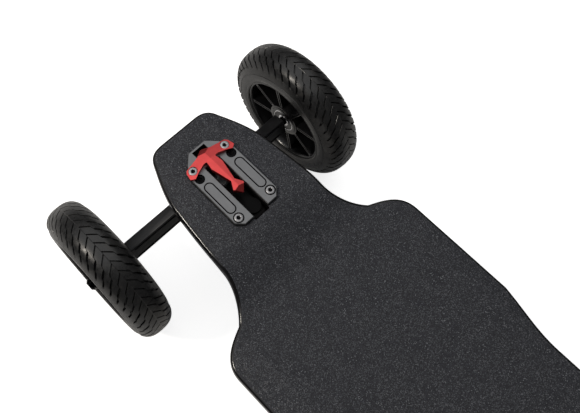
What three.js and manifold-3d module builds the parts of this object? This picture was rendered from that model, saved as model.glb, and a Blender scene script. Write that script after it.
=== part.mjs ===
// Electric mountainboard, in millimetres. +X points to the nose, +Y to the left and +Z up.
// The origin lies on the ground under the middle of the deck.
import * as THREE from 'three';
import { mergeVertices } from 'three/addons/utils/BufferGeometryUtils.js';
import Module from 'manifold-3d';

const wasm = await Module();
wasm.setup();

// Clearances and cuts
const gap = 0.3; // between faces that rest on each other
const overrun = 6; // how far a cut runs past the piece it cuts
const loose = 0.6; // beside parts that turn
const steerClearance = 2.2; // round the kingpin, so that the hanger can lean

// Deck
const deck = {
  length: 1010,
  width: 240,
  thickness: 12,
  noseRise: 18,
  bendLength: 67,
  bendFromBolts: 9,
  boltsFromTip: 110,
  cutRear: 11.5,
  cutFront: 80,
  cutHalfWidth: 9,
};
const grip = { thickness: 0.7, inset: 3.5 };

// Half outline of the deck from the corner of the tip to the waist. Each row is one curve: two
// control points and an end, as shares of half the length and half the width.
const tipWidthShare = 0.183;
const outlineCurveShares = [
  [1, 0.283, 0.99, 0.329, 0.972, 0.355],
  [0.941, 0.413, 0.907, 0.471, 0.871, 0.487],
  [0.822, 0.51, 0.772, 0.531, 0.727, 0.537],
  [0.693, 0.548, 0.661, 0.642, 0.642, 0.725],
  [0.626, 0.892, 0.61, 1, 0.572, 1],
];
const waistCurveShares = [0.307, 0.967, 0.267, 0.904, 0.218, 0.904];
const edgeEndShare = 0.356;

// Wheels
const tyre = { diameter: 165, width: 46.5, sidewall: 29.5, tread: 31, drop: 2.8, groove: 1.4, chevron: 17 };
const shoulderShare = 0.3;
const wheelTrack = 271;
const hub = {
  clearance: 0.4,
  width: 41,
  wall: 3.2,
  web: 5,
  webFromMiddle: 6,
  boss: 40,
  bossInner: 19,
  bossOuter: 17,
  rib: 4,
  ribBelowBoss: 1.5,
  ribBelowRim: 2.2,
};
const ribPhaseShare = 0.6;
const bearing = { diameter: 28, width: 8, spacer: 18 };
const axle = { diameter: 10, end: 26.6, nutWidth: 15, nutHeight: 8 };

// Truck, measured from the screws at the ends of the top plate's legs, outboard positive
const truck = { axleFromBolts: 71.3, deckOverAxle: 61.5, steerAngle: 45, axleDrop: 13.3 };
const hanger = {
  barWidth: 14.5,
  barHeight: 19,
  barTilt: 16,
  halfLength: 112,
  grooveDepth: 2.6,
  grooveHeight: 3,
  grooveEdge: 1.6,
  grooveStart: 22,
  grooveEnd: 104,
  ring: 36,
  ringThickness: 8,
  ringAlong: 22.8,
  pivotAlong: 19.2,
  pivotTip: 4,
  shank: 12,
  yokeHalfWidth: 15,
};
const bushing = { length: 13.4, wide: 24, narrow: 20, bore: 10.8 };
const kingpin = {
  diameter: 10,
  head: 15,
  headHeight: 7,
  washer: 23,
  washerThickness: 2,
  nut: 17,
  nutHeight: 8,
};
const base = {
  flange: 7.5,
  front: 76,
  rear: 9,
  halfWidth: 27,
  armHalfWidth: 11,
  armRear: 2,
  seatBoss: 25,
  bossLength: 22,
  housing: 24,
  housingBack: 11,
  housingFront: 3,
  spineHalfWidth: 7.5,
  spineHeight: 7,
  spineRear: 10,
  spineFront: 30,
  lug: 16,
  lugHeight: 3,
  lugFromBolts: 2,
};
const cup = { outer: 18, inner: 12.6, length: 10, floor: 2 };

// Top plate and tee bridge on each truck
const plate = {
  thickness: 5,
  front: 82,
  frontHalf: 10.7,
  shoulder: 72,
  shoulderHalf: 20.7,
  side: 57,
  halfWidth: 27.5,
  tail: 2,
  end: 9,
  endHalf: 20.5,
  slotHalf: 9,
  slotClosed: 59,
  windowHalf: 7.8,
  windowFront: 79.5,
  windowRear: 72,
  spotDepth: 1.6,
};
const bolts = { lateral: 20.65, capFromBolts: 53.98, teeFromBolts: 63.5 };
const tee = {
  ridgeHeight: 6.4,
  edgeHeight: 1.2,
  pitch: 8,
  seatHeight: 0.8,
  nose: 75.4,
  noseHalf: 1,
  noseHeight: 1,
  noseRidge: 67,
  kink: 71,
  kinkHalf: 8.2,
  tipFront: 68.2,
  tipFrontHalf: 24.8,
  tipSide: 65.5,
  tipSideHalf: 27,
  tip: 58.4,
  tipHalf: 28.4,
  tipRear: 55.6,
  tipRearHalf: 24.1,
  armRear: 58.6,
  armRearHalf: 17.4,
  crotch: 61.3,
  crotchHalf: 7.7,
  root: 60.4,
  rootHalf: 5.5,
  shoulder: 52,
  shoulderHalf: 6.9,
  neck: 30,
  neckHalf: 2.1,
  pommel: 22,
  pommelHalf: 6.8,
  end: 15.2,
  endHalf: 0.4,
  endHeight: 1,
};
const screw = { shank: 4.8, button: 8.6, buttonHeight: 2, cap: 8.6, capHeight: 3.6, past: 1 };
const headEdgeShare = 0.33;

// Belt drive on each rear wheel
const belt = { pitch: 5, tooth: 2.06, toothBase: 3.1, pitchLine: 0.57, back: 1.5, width: 15 };
const pulley = { bore: 30, flange: 1.5, flangeRise: 1.8, clearance: 0.35, standoff: 36 };
const motor = {
  diameter: 50,
  length: 56,
  wall: 2.4,
  endCap: 4,
  stator: 43,
  flange: 5,
  shaft: 8,
  drop: 15,
  lip: 3,
};
const mount = { thickness: 5, clampWall: 6, clampLength: 14, fromPulley: 1.2 };

// Battery case under the deck
const box = {
  length: 560,
  width: 190,
  depth: 38,
  wall: 3,
  corner: 30,
  taper: 6,
  endMargin: 40,
  packMargin: 14,
  packHeight: 26,
  cellCrest: 4.2,
  controllerLength: 68,
  controllerWidth: 110,
  controllerHeight: 18,
  controllerGap: 12,
  fin: 3,
};
const socket = {
  diameter: 18,
  depth: 12,
  recess: 11,
  recessDepth: 9,
  flange: 24,
  flangeThickness: 1.5,
  fromRear: 70,
};
const cap = { width: 26, height: 24, thickness: 2.5, hinge: 4 };
const button = { diameter: 14, length: 9, collar: 18, proud: 3, travel: 1.5, fromSocket: 40 };

// Counts
const wheelTeeth = 48;
const motorTeeth = 16;
const beltTeeth = 65;
const chevrons = 45;
const ribs = 8;
const cells = 16;
const fins = 7;
const halvings = 60;
const sidewallSteps = 30;
const curveSteps = 4;
const bendSteps = 6;
const rimSides = 16;
const roundSides = 12;
const screwSides = 6;
const axleSides = 10;

// Places that follow from the sizes
const quarterTurn = Math.PI / 2;
const axleHeight = tyre.diameter / 2;
const underNose = axleHeight + truck.deckOverAxle;
const noseTop = underNose + deck.thickness;
const underPlatform = underNose - deck.noseRise;
const gripTop = noseTop + gap + grip.thickness;
const plateLow = noseTop + gap;
const plateTop = plateLow + plate.thickness;
const boltsFromMiddle = deck.length / 2 - deck.boltsFromTip;
const flangeTop = underNose - gap;
const flangeLow = flangeTop - base.flange;
const steer = THREE.MathUtils.degToRad(truck.steerAngle);
const alongSteer = new THREE.Vector2(Math.cos(steer), Math.sin(steer));
const axlePlace = new THREE.Vector2(truck.axleFromBolts, axleHeight);
const upKingpin = new THREE.Vector2(-alongSteer.y, alongSteer.x);
const steerFoot = axlePlace.clone().addScaledVector(upKingpin, truck.axleDrop);
const ringPlace = steerFoot.clone().addScaledVector(alongSteer, hanger.ringAlong);
const pivotPlace = steerFoot.clone().addScaledVector(alongSteer, -hanger.pivotAlong);
const wheelMiddle = wheelTrack / 2;

// Materials
const finish = (color, roughness, metalness) => (
  new THREE.MeshStandardMaterial({ color, roughness, metalness })
);
const finishes = {
  gloss: () => finish(0x0b0b0d, 0.25, 0),
  grit: () => finish(0x3a3c40, 0.9, 0),
  rubber: () => finish(0x1b1b1c, 0.7, 0),
  black: () => finish(0x161617, 0.5, 0),
  anodised: () => finish(0x77797c, 0.4, 0.8),
  red: () => finish(0xc8102e, 0.3, 0.6),
  steel: () => finish(0xb9bcc0, 0.25, 1),
  darkSteel: () => finish(0x202123, 0.35, 0.9),
  urethane: () => finish(0x2b2b2e, 0.6, 0),
  wrap: () => finish(0x274a7a, 0.5, 0),
};

// Solids
function solid(geometry) {
  const bare = new THREE.BufferGeometry();
  bare.setAttribute('position', geometry.getAttribute('position'));
  bare.setIndex(geometry.getIndex());
  const merged = mergeVertices(bare);
  const corners = merged.getIndex().array;
  const kept = [];
  for (let i = 0; i < corners.length; i += 3) {
    const [a, b, c] = [corners[i], corners[i + 1], corners[i + 2]];
    if (a !== b && b !== c && c !== a) {
      kept.push(a, b, c);
    }
  }
  const vertProperties = new Float32Array(merged.getAttribute('position').array);
  if (volumeOf(vertProperties, kept) < 0) {
    kept.reverse();
  }
  return new wasm.Manifold(new wasm.Mesh({ numProp: 3, vertProperties, triVerts: new Uint32Array(kept) }));
}

function volumeOf(places, corners) {
  const [a, b, c] = [new THREE.Vector3(), new THREE.Vector3(), new THREE.Vector3()];
  let volume = 0;
  for (let i = 0; i < corners.length; i += 3) {
    a.fromArray(places, 3 * corners[i]);
    b.fromArray(places, 3 * corners[i + 1]);
    c.fromArray(places, 3 * corners[i + 2]);
    volume += a.dot(b.cross(c));
  }
  return volume;
}

function join(first, ...others) {
  return others.reduce((sum, geometry) => sum.add(solid(geometry)), solid(first));
}

function cut(body, ...tools) {
  return tools.reduce((rest, geometry) => rest.subtract(solid(geometry)), body);
}

function surface(body) {
  const { numProp, vertProperties, triVerts } = body.getMesh();
  const places = [];
  for (let i = 0; i < vertProperties.length; i += numProp) {
    places.push(vertProperties[i], vertProperties[i + 1], vertProperties[i + 2]);
  }
  const geometry = new THREE.BufferGeometry();
  geometry.setAttribute('position', new THREE.Float32BufferAttribute(places, 3));
  geometry.setIndex([...triVerts]);
  geometry.computeVertexNormals();
  return geometry;
}

function polygon(points) {
  return new THREE.Shape(points.map(([x, y]) => new THREE.Vector2(x, y)));
}

function mirrored(points) {
  return points.concat(points.map(([x, y]) => [x, -y]).reverse());
}

// An outline in the plan, raised from low to high.
function upright(shape, low, high, sides = roundSides) {
  const settings = { depth: high - low, bevelEnabled: false, curveSegments: sides };
  const geometry = new THREE.ExtrudeGeometry(shape, settings);
  return geometry.translate(0, 0, low);
}

// An outline in the side view, run across from right to left.
function across(shape, right, left, sides = roundSides) {
  const settings = { depth: left - right, bevelEnabled: false, curveSegments: sides };
  const geometry = new THREE.ExtrudeGeometry(shape, settings);
  return geometry.rotateX(quarterTurn).translate(0, left, 0);
}

// An outline in the end view, run along from rear to front.
function lengthwise(shape, rear, front) {
  const geometry = new THREE.ExtrudeGeometry(shape, { depth: front - rear, bevelEnabled: false });
  return geometry.rotateX(quarterTurn).rotateZ(quarterTurn).translate(rear, 0, 0);
}

// A profile of radius and height, turned about the Y axis.
function turned(profile, sides = roundSides) {
  return new THREE.LatheGeometry(profile.map(([r, h]) => new THREE.Vector2(r, h)), sides);
}

function rod(radius, low, high, sides = roundSides) {
  return turned([[0, low], [radius, low], [radius, high], [0, high]], sides);
}

function ringProfile(inner, outer, low, high) {
  return [[inner, low], [outer, low], [outer, high], [inner, high], [inner, low]];
}

function rectangle(x0, x1, y0, y1) {
  return polygon([[x0, y0], [x1, y0], [x1, y1], [x0, y1]]);
}

function block(x0, x1, y0, y1, z0, z1) {
  return upright(rectangle(x0, x1, y0, y1), z0, z1);
}

function standing(geometry) {
  return geometry.rotateX(quarterTurn);
}

function boltHole(x, y, radius, low, high, sides = screwSides) {
  return standing(rod(radius, low, high, sides)).translate(x, y, 0);
}

// Puts a piece that was made on the Z axis on the steering axis, or on the kingpin's.
function onSteerAxis(geometry) {
  return geometry.rotateY(quarterTurn - steer).translate(pivotPlace.x, 0, pivotPlace.y);
}

function onKingpin(geometry) {
  return geometry.rotateY(-steer).translate(ringPlace.x, 0, ringPlace.y);
}

function place(parent, name, body, material) {
  const geometry = body instanceof THREE.BufferGeometry ? surface(solid(body)) : surface(body);
  const mesh = new THREE.Mesh(geometry, material());
  mesh.name = name;
  parent.add(mesh);
  return mesh;
}

const board = new THREE.Group();

// Deck
function halfOutline() {
  const [halfLength, halfWidth] = [deck.length / 2, deck.width / 2];
  const path = new THREE.Path();
  const curve = (shares) => {
    const scaled = shares.map((share, i) => share * (i % 2 ? halfWidth : halfLength));
    path.bezierCurveTo(...scaled);
  };
  path.moveTo(halfLength, tipWidthShare * halfWidth);
  outlineCurveShares.forEach(curve);
  path.lineTo(edgeEndShare * halfLength, halfWidth);
  curve(waistCurveShares);
  return path.getPoints(curveSteps);
}

function deckOutline(inset) {
  const half = halfOutline();
  const quarter = half.map((point, i) => {
    const before = half[Math.max(i - 1, 0)];
    const after = half[Math.min(i + 1, half.length - 1)];
    const run = i === 0 ? new THREE.Vector2(-1, 1) : after.clone().sub(before);
    run.normalize();
    return [point.x - run.y * inset, point.y + run.x * inset];
  });
  const left = quarter.concat(quarter.map(([x, y]) => [-x, y]).reverse());
  return polygon(mirrored(left));
}

// Height of the deck's underside, from the raised nose over the bend to the platform and back.
function deckRise(x) {
  const start = boltsFromMiddle - deck.bendFromBolts;
  const share = THREE.MathUtils.clamp((Math.abs(x) - start + deck.bendLength) / deck.bendLength, 0, 1);
  return underPlatform + deck.noseRise * share * share * (3 - 2 * share);
}

function deckSide(low, high) {
  const start = boltsFromMiddle - deck.bendFromBolts;
  const places = [deck.length / 2 + overrun];
  for (let i = 0; i <= bendSteps; i += 1) {
    places.push(start - (deck.bendLength * i) / bendSteps);
  }
  const all = places.concat(places.map((x) => -x).reverse());
  const top = all.map((x) => [x, deckRise(x) + high]);
  const under = all.map((x) => [x, deckRise(x) + low]).reverse();
  return polygon(top.concat(under));
}

function sheetOnDeck(inset, low, high) {
  const plan = upright(deckOutline(inset), 0, gripTop + overrun);
  const side = across(deckSide(low, high), -deck.width, deck.width);
  return solid(plan).intersect(solid(side));
}

function turnedToEnd(geometry, sign) {
  return geometry.rotateZ(sign > 0 ? 0 : Math.PI).translate(sign * boltsFromMiddle, 0, 0);
}

function screwPlaces() {
  const rows = [0, bolts.capFromBolts, bolts.teeFromBolts];
  return rows.flatMap((x) => [[x, bolts.lateral], [x, -bolts.lateral]]);
}

function makeDeck() {
  let body = sheetOnDeck(0, 0, deck.thickness);
  let sheet = sheetOnDeck(grip.inset, deck.thickness + gap, deck.thickness + gap + grip.thickness);
  const opening = rectangle(-deck.cutRear, deck.cutFront, -deck.cutHalfWidth, deck.cutHalfWidth);
  for (const sign of [1, -1]) {
    const through = [underPlatform - overrun, gripTop + overrun];
    body = cut(body, turnedToEnd(upright(opening, ...through), sign));
    for (const [x, y] of screwPlaces()) {
      body = cut(body, turnedToEnd(boltHole(x, y, screw.shank / 2 + gap, ...through), sign));
    }
    const rim = upright(polygon(mirrored(plateHalf(gap))), ...through);
    sheet = cut(sheet, turnedToEnd(rim, sign), turnedToEnd(upright(opening, ...through), sign));
  }
  place(board, 'deck', body, finishes.gloss);
  place(board, 'grip_tape', sheet, finishes.grit);
}

// Top plate and tee bridge
function plateHalf(margin) {
  return [
    [plate.front + margin, plate.frontHalf],
    [plate.shoulder + margin, plate.shoulderHalf + margin],
    [plate.side, plate.halfWidth + margin],
    [-plate.tail, plate.halfWidth + margin],
    [-plate.end - margin, plate.endHalf + margin],
  ];
}

function makePlate() {
  const slot = [[-plate.end, plate.slotHalf], [plate.slotClosed, plate.slotHalf]];
  const outline = polygon(mirrored([...slot.reverse(), ...plateHalf(0).reverse()].reverse()));
  outline.holes.push(rectangle(plate.windowRear, plate.windowFront, -plate.windowHalf, plate.windowHalf));
  let body = solid(upright(outline, plateLow, plateTop));
  const top = plateTop + overrun;
  for (const [x, y] of screwPlaces()) {
    body = cut(body, boltHole(x, y, screw.shank / 2 + gap, plateLow - overrun, top));
  }
  for (const side of [1, -1]) {
    const floor = plateTop - screw.capHeight;
    body = cut(body, boltHole(bolts.capFromBolts, side * bolts.lateral, screw.cap / 2 + gap, floor, top));
    const seat = plateTop - plate.spotDepth;
    body = cut(body, boltHole(0, side * bolts.lateral, screw.button / 2 + gap, seat, top));
  }
  return body;
}

const teeLow = plateTop + gap;

// The tee's two slopes, which fall from the ridge to the arms' ends.
function teeRoof() {
  return lengthwise(polygon([
    [-tee.tipHalf, -tee.nose], [tee.tipHalf, -tee.nose], [tee.tipHalf, tee.edgeHeight], [0, tee.ridgeHeight],
    [-tee.tipHalf, tee.edgeHeight],
  ]), -tee.nose, tee.nose);
}

function makeTee() {
  const plan = [
    [tee.nose, tee.noseHalf],
    [tee.kink, tee.kinkHalf],
    [tee.tipFront, tee.tipFrontHalf],
    [tee.tipSide, tee.tipSideHalf],
    [tee.tip, tee.tipHalf],
    [tee.tipRear, tee.tipRearHalf],
    [tee.armRear, tee.armRearHalf],
    [tee.crotch, tee.crotchHalf],
    [tee.root, tee.rootHalf],
    [tee.shoulder, tee.shoulderHalf],
    [tee.neck, tee.neckHalf],
    [tee.pommel, tee.pommelHalf],
    [tee.end, tee.endHalf],
  ];
  const side = [
    [tee.nose, 0],
    [tee.nose, tee.noseHeight],
    [tee.noseRidge, tee.ridgeHeight],
    [tee.pommel, tee.ridgeHeight],
    [tee.end, tee.endHeight],
    [tee.end, 0],
  ];
  const pitch = THREE.MathUtils.degToRad(tee.pitch);
  const forward = teeRoof().translate(0, 0, -tee.ridgeHeight).rotateY(pitch);
  let body = solid(upright(polygon(mirrored(plan)), 0, tee.ridgeHeight));
  body = body.intersect(solid(teeRoof().translate(tee.nose, 0, 0)));
  body = body.intersect(solid(forward.translate(tee.crotch, 0, tee.ridgeHeight)));
  body = body.intersect(solid(across(polygon(side), -tee.tipHalf, tee.tipHalf)));
  for (const lateral of [bolts.lateral, -bolts.lateral]) {
    const top = tee.ridgeHeight + overrun;
    body = cut(
      body,
      boltHole(bolts.teeFromBolts, lateral, screw.shank / 2 + gap, -overrun, top),
      boltHole(bolts.teeFromBolts, lateral, screw.button / 2 + gap, tee.seatHeight, top),
    );
  }
  return body.translate([0, 0, teeLow]);
}

function screwBody(head, headHeight, seat) {
  const low = flangeLow - screw.past;
  const shank = screw.shank / 2;
  const profile = [[0, low], [shank, low], [shank, seat], [head / 2, seat]];
  profile.push([head / 2 - headEdgeShare * headHeight, seat + headHeight], [0, seat + headHeight]);
  return standing(turned(profile, screwSides));
}

function makeTopPieces(group, end, sign) {
  place(group, `${end}_top_plate`, makePlate(), finishes.anodised);
  place(group, `${end}_tee_bridge`, makeTee(), finishes.red);
  const [legSeat, capSeat] = [plateTop - plate.spotDepth + gap, plateTop - screw.capHeight + gap];
  const teeSeat = teeLow + tee.seatHeight + gap;
  const seats = [
    ['leg_screw', 0, screw.button, screw.buttonHeight, legSeat, finishes.steel],
    ['cap_screw', bolts.capFromBolts, screw.cap, screw.capHeight - gap, capSeat, finishes.darkSteel],
    ['tee_screw', bolts.teeFromBolts, screw.button, screw.buttonHeight, teeSeat, finishes.steel],
  ];
  for (const [kind, x, head, height, seat, material] of seats) {
    for (const side of [1, -1]) {
      const name = `${end}_${kind}_${side * sign > 0 ? 'left' : 'right'}`;
      place(group, name, screwBody(head, height, seat).translate(x, side * bolts.lateral, 0), material);
    }
  }
}

// Truck base, pivot cup, kingpin and bushings
const seatAlong = hanger.ringThickness / 2 + gap + bushing.length + gap;
const headSeat = seatAlong + base.bossLength;

// A point of the side view, from its distance along the steering axis and up the kingpin.
function steerPoint(origin, along, up) {
  const x = origin.x + along * alongSteer.x - up * alongSteer.y;
  return [x, origin.y + along * alongSteer.y + up * alongSteer.x];
}

function makeBase() {
  const backOfHousing = steerPoint(pivotPlace, -base.housingBack, base.housing / 2);
  const mouthOfHousing = steerPoint(pivotPlace, base.housingFront, base.housing / 2);
  const bossEdge = base.seatBoss / 2;
  const arm = polygon([
    [base.armRear, flangeTop],
    backOfHousing,
    steerPoint(pivotPlace, -base.housingBack, 0),
    steerPoint(pivotPlace, base.housingFront - base.housing / 2, 0),
    mouthOfHousing,
    steerPoint(ringPlace, -base.seatBoss, headSeat),
    steerPoint(ringPlace, -bossEdge, seatAlong),
    steerPoint(ringPlace, bossEdge, seatAlong),
    [base.front, flangeTop],
  ]);
  const lug = standing(rod(base.lug / 2, flangeLow, flangeTop + base.spineHeight + base.lugHeight));
  const flange = block(-base.rear, base.front, -base.halfWidth, base.halfWidth, flangeLow, flangeTop);
  const body = join(
    across(arm, -base.armHalfWidth, base.armHalfWidth),
    onSteerAxis(standing(rod(base.housing / 2, -base.housingBack, base.housingFront))),
    onKingpin(standing(rod(bossEdge, seatAlong, headSeat))),
  );
  const under = block(-deck.boltsFromTip, base.front, -base.halfWidth, base.halfWidth, 0, flangeTop);
  const spineTop = flangeTop + base.spineHeight;
  const spine = block(
    -base.spineRear, base.spineFront, -base.spineHalfWidth, base.spineHalfWidth, flangeLow, spineTop);
  let whole = body.intersect(solid(under)).add(solid(flange)).add(solid(spine));
  whole = whole.add(solid(lug.translate(base.lugFromBolts, 0, 0)));
  const head = kingpin.head / 2 + gap;
  whole = cut(
    whole,
    onKingpin(standing(rod(kingpin.diameter / 2 + gap, 0, headSeat + overrun))),
    onKingpin(standing(rod(head, headSeat, headSeat + base.bossLength))),
    onSteerAxis(standing(rod(cup.outer / 2 + gap, -cup.length + cup.floor, base.housingFront + overrun))),
  );
  for (const [x, y] of screwPlaces()) {
    whole = cut(whole, boltHole(x, y, screw.shank / 2 + gap, flangeLow - overrun, flangeTop + overrun));
  }
  return whole;
}

function makeCup() {
  const [inner, outer] = [cup.inner / 2 + gap, cup.outer / 2];
  const low = -cup.length + cup.floor + gap;
  const floor = low + cup.floor - gap;
  return onSteerAxis(standing(turned([
    [0, low], [outer, low], [outer, base.housingFront], [inner, base.housingFront], [inner, floor],
    [0, floor],
  ])));
}

function makeKingpin() {
  const [shank, washer, nut] = [kingpin.diameter / 2, kingpin.washer / 2, kingpin.nut / 2];
  const under = -seatAlong;
  const belowWasher = under - kingpin.washerThickness;
  const belowNut = belowWasher - kingpin.nutHeight;
  const top = headSeat + gap;
  return onKingpin(standing(turned([
    [0, belowNut], [nut, belowNut], [nut, belowWasher], [washer, belowWasher], [washer, under],
    [shank, under], [shank, top], [kingpin.head / 2, top], [kingpin.head / 2, top + kingpin.headHeight],
    [0, top + kingpin.headHeight],
  ])));
}

function makeBushing(sign) {
  const near = hanger.ringThickness / 2 + gap;
  const far = near + bushing.length;
  const [bore, wide, narrow] = [bushing.bore / 2, bushing.wide / 2, bushing.narrow / 2];
  const profile = [[bore, near], [wide, near], [narrow, far], [bore, far], [bore, near]];
  return onKingpin(standing(turned(profile.map(([r, h]) => [r, sign * h]))));
}

// Hanger with its bar, kingpin ring and pivot
function onBar(shape, right, left) {
  const tilt = THREE.MathUtils.degToRad(hanger.barTilt);
  return across(shape, right, left).rotateY(tilt).translate(axlePlace.x, 0, axlePlace.y);
}

function makeHanger() {
  const [w, h] = [hanger.barWidth / 2, hanger.barHeight / 2];
  const end = hanger.halfLength;
  const ringHalf = hanger.ringThickness / 2;
  const shank = hanger.shank / 2;
  const pocket = Math.max(bushing.wide, kingpin.washer) / 2 + gap;
  const webFront = hanger.ringAlong - pocket - gap;
  const yoke = polygon([
    steerPoint(steerFoot, -w, shank / 2),
    steerPoint(steerFoot, webFront, 0),
    steerPoint(steerFoot, webFront, -truck.axleDrop),
    steerPoint(steerFoot, w, -truck.axleDrop - h),
    steerPoint(steerFoot, -h, -truck.axleDrop),
  ]);
  const body = join(
    onBar(rectangle(-w, w, -h, h), -end, end),
    across(yoke, -hanger.yokeHalfWidth, hanger.yokeHalfWidth),
    onKingpin(standing(rod(hanger.ring / 2, -ringHalf, ringHalf, rimSides))),
    onSteerAxis(standing(rod(shank, -hanger.pivotTip, hanger.pivotAlong + webFront))),
  );
  const aside = hanger.yokeHalfWidth + overrun;
  const below = seatAlong + kingpin.washerThickness + kingpin.nutHeight + overrun;
  let whole = cut(
    body,
    onKingpin(block(-pocket, pocket, -aside, aside, -below, -ringHalf - gap)),
    onKingpin(standing(rod(kingpin.diameter / 2 + steerClearance, -seatAlong, seatAlong))),
    rod(axle.diameter / 2 + gap, -end - overrun, end + overrun).translate(axlePlace.x, 0, axlePlace.y),
  );
  const top = h - hanger.grooveEdge;
  for (const level of [top - hanger.grooveHeight, -top]) {
    const groove = rectangle(-w - overrun, -w + hanger.grooveDepth, level, level + hanger.grooveHeight);
    whole = cut(
      whole,
      onBar(groove, hanger.grooveStart, hanger.grooveEnd),
      onBar(groove, -hanger.grooveEnd, -hanger.grooveStart),
    );
  }
  return whole;
}

function makeAxle() {
  const rodRadius = axle.diameter / 2;
  const end = wheelMiddle + axle.end;
  const nutLow = wheelMiddle + bearingOuter + gap;
  const nut = axle.nutWidth / 2;
  const half = [[rodRadius, nutLow], [nut, nutLow], [nut, nutLow + axle.nutHeight]];
  half.push([rodRadius, nutLow + axle.nutHeight], [rodRadius, end], [0, end]);
  const other = half.map(([r, y]) => [r, -y]).reverse();
  return turned(other.concat(half), axleSides).translate(axlePlace.x, 0, axlePlace.y);
}

// Wheels, made about their own middle with the outboard side at +Y
const bearingInner = hub.bossInner;
const bearingOuter = hub.bossOuter;

// Joins two rings of corners, each going round once, whatever their counts.
function stitch(corners, ring, next) {
  let [i, j] = [0, 0];
  while (i < ring.length || j < next.length) {
    const [here, there] = [ring[i % ring.length], next[j % next.length]];
    if ((i + 1) * next.length <= (j + 1) * ring.length) {
      i += 1;
      corners.push(here, ring[i % ring.length], there);
    } else {
      j += 1;
      corners.push(here, next[j % next.length], there);
    }
  }
}

// Tread rows run in chevrons: every second row is a groove, and rows lag towards the shoulders.
function makeTyre(forward) {
  const [crown, half] = [tyre.diameter / 2, tyre.width / 2];
  const bead = crown - tyre.sidewall;
  const rows = 2 * chevrons;
  const halfProfile = [
    [bead, hub.width / 2, sidewallSteps, 0],
    [crown - shoulderShare * tyre.sidewall, half, sidewallSteps, 0],
    [crown - tyre.drop, tyre.tread / 2, rows, tyre.groove],
    [crown, 0, rows, tyre.groove],
  ];
  const otherHalf = halfProfile.slice(0, -1).map(([r, y, ...rest]) => [r, -y, ...rest]);
  const profile = halfProfile.concat(otherHalf.reverse());
  const places = [];
  const rings = profile.map(([r, y, steps, groove]) => Array.from({ length: steps }, (_, step) => {
    const radius = r - groove * ((step + 1) % 2);
    const lag = (tyre.chevron * Math.abs(y)) / (half * crown);
    const angle = (step * 2 * Math.PI) / steps - forward * lag;
    places.push(radius * Math.sin(angle), y, radius * Math.cos(angle));
    return places.length / 3 - 1;
  }));
  const corners = [];
  rings.forEach((ring, i) => stitch(corners, ring, rings[(i + 1) % rings.length]));
  const geometry = new THREE.BufferGeometry();
  geometry.setAttribute('position', new THREE.Float32BufferAttribute(places, 3));
  geometry.setIndex(corners);
  return geometry;
}

function makeHub() {
  const rim = tyre.diameter / 2 - tyre.sidewall - hub.clearance;
  const inner = rim - hub.wall;
  const half = hub.width / 2;
  const boss = hub.boss / 2;
  const bore = bearing.diameter / 2 + gap;
  const [webLow, webHigh] = [hub.webFromMiddle, hub.webFromMiddle + hub.web];
  const profile = [
    [bore, -hub.bossInner], [boss, -hub.bossInner], [boss, webLow], [inner, webLow], [inner, -half],
    [rim, -half], [rim, half], [boss, webHigh], [boss, hub.bossOuter], [bore, hub.bossOuter],
    [bore, -hub.bossInner],
  ];
  let body = solid(turned(profile, rimSides));
  const [start, end] = [boss - hub.wall, inner + hub.wall / 2];
  const rib = polygon([
    [start, -hub.bossInner + hub.ribBelowBoss], [end, -half + hub.ribBelowRim],
    [end, webHigh - hub.web / 2], [start, webHigh - hub.web / 2],
  ]);
  for (let i = 0; i < ribs; i += 1) {
    const turn = ((i + ribPhaseShare) * 2 * Math.PI) / ribs;
    const one = upright(rib, -hub.rib / 2, hub.rib / 2).rotateY(turn);
    body = body.add(solid(one));
  }
  return body;
}

function makeBearings() {
  const [bore, spacer, outer] = [axle.diameter / 2 + gap, bearing.spacer / 2, bearing.diameter / 2];
  const [low, high] = [-bearingInner, bearingOuter];
  return turned([
    [bore, low], [outer, low], [outer, low + bearing.width], [spacer, low + bearing.width],
    [spacer, high - bearing.width], [outer, high - bearing.width], [outer, high], [bore, high], [bore, low],
  ]);
}

function makeWheels(group, end, sign) {
  for (const side of [1, -1]) {
    const name = `${end}_${side * sign > 0 ? 'left' : 'right'}`;
    const wheel = new THREE.Group();
    wheel.position.set(axlePlace.x, side * wheelMiddle, axlePlace.y);
    const facing = (geometry) => (side > 0 ? geometry : geometry.rotateZ(Math.PI));
    place(wheel, `${name}_tyre`, makeTyre(sign), finishes.rubber);
    place(wheel, `${name}_hub`, facing(surface(makeHub())), finishes.black);
    place(wheel, `${name}_bearings`, facing(makeBearings()), finishes.steel);
    group.add(wheel);
  }
}

// Belt drive: the centre distance comes from the belt's length round both pulleys
const bigRadius = (wheelTeeth * belt.pitch) / (2 * Math.PI);
const smallRadius = (motorTeeth * belt.pitch) / (2 * Math.PI);

function beltLength(distance) {
  const lean = Math.asin((bigRadius - smallRadius) / distance);
  const straight = 2 * distance * Math.cos(lean);
  return straight + bigRadius * (Math.PI + 2 * lean) + smallRadius * (Math.PI - 2 * lean);
}

function centreDistance() {
  const wanted = beltTeeth * belt.pitch;
  let [near, far] = [bigRadius, wanted];
  for (let i = 0; i < halvings; i += 1) {
    const middle = (near + far) / 2;
    [near, far] = beltLength(middle) < wanted ? [middle, far] : [near, middle];
  }
  return (near + far) / 2;
}

const centres = centreDistance();
const beltLean = Math.asin((bigRadius - smallRadius) / centres);
const bigWrap = bigRadius * (quarterTurn + beltLean);
const straightRun = centres * Math.cos(beltLean);

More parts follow.
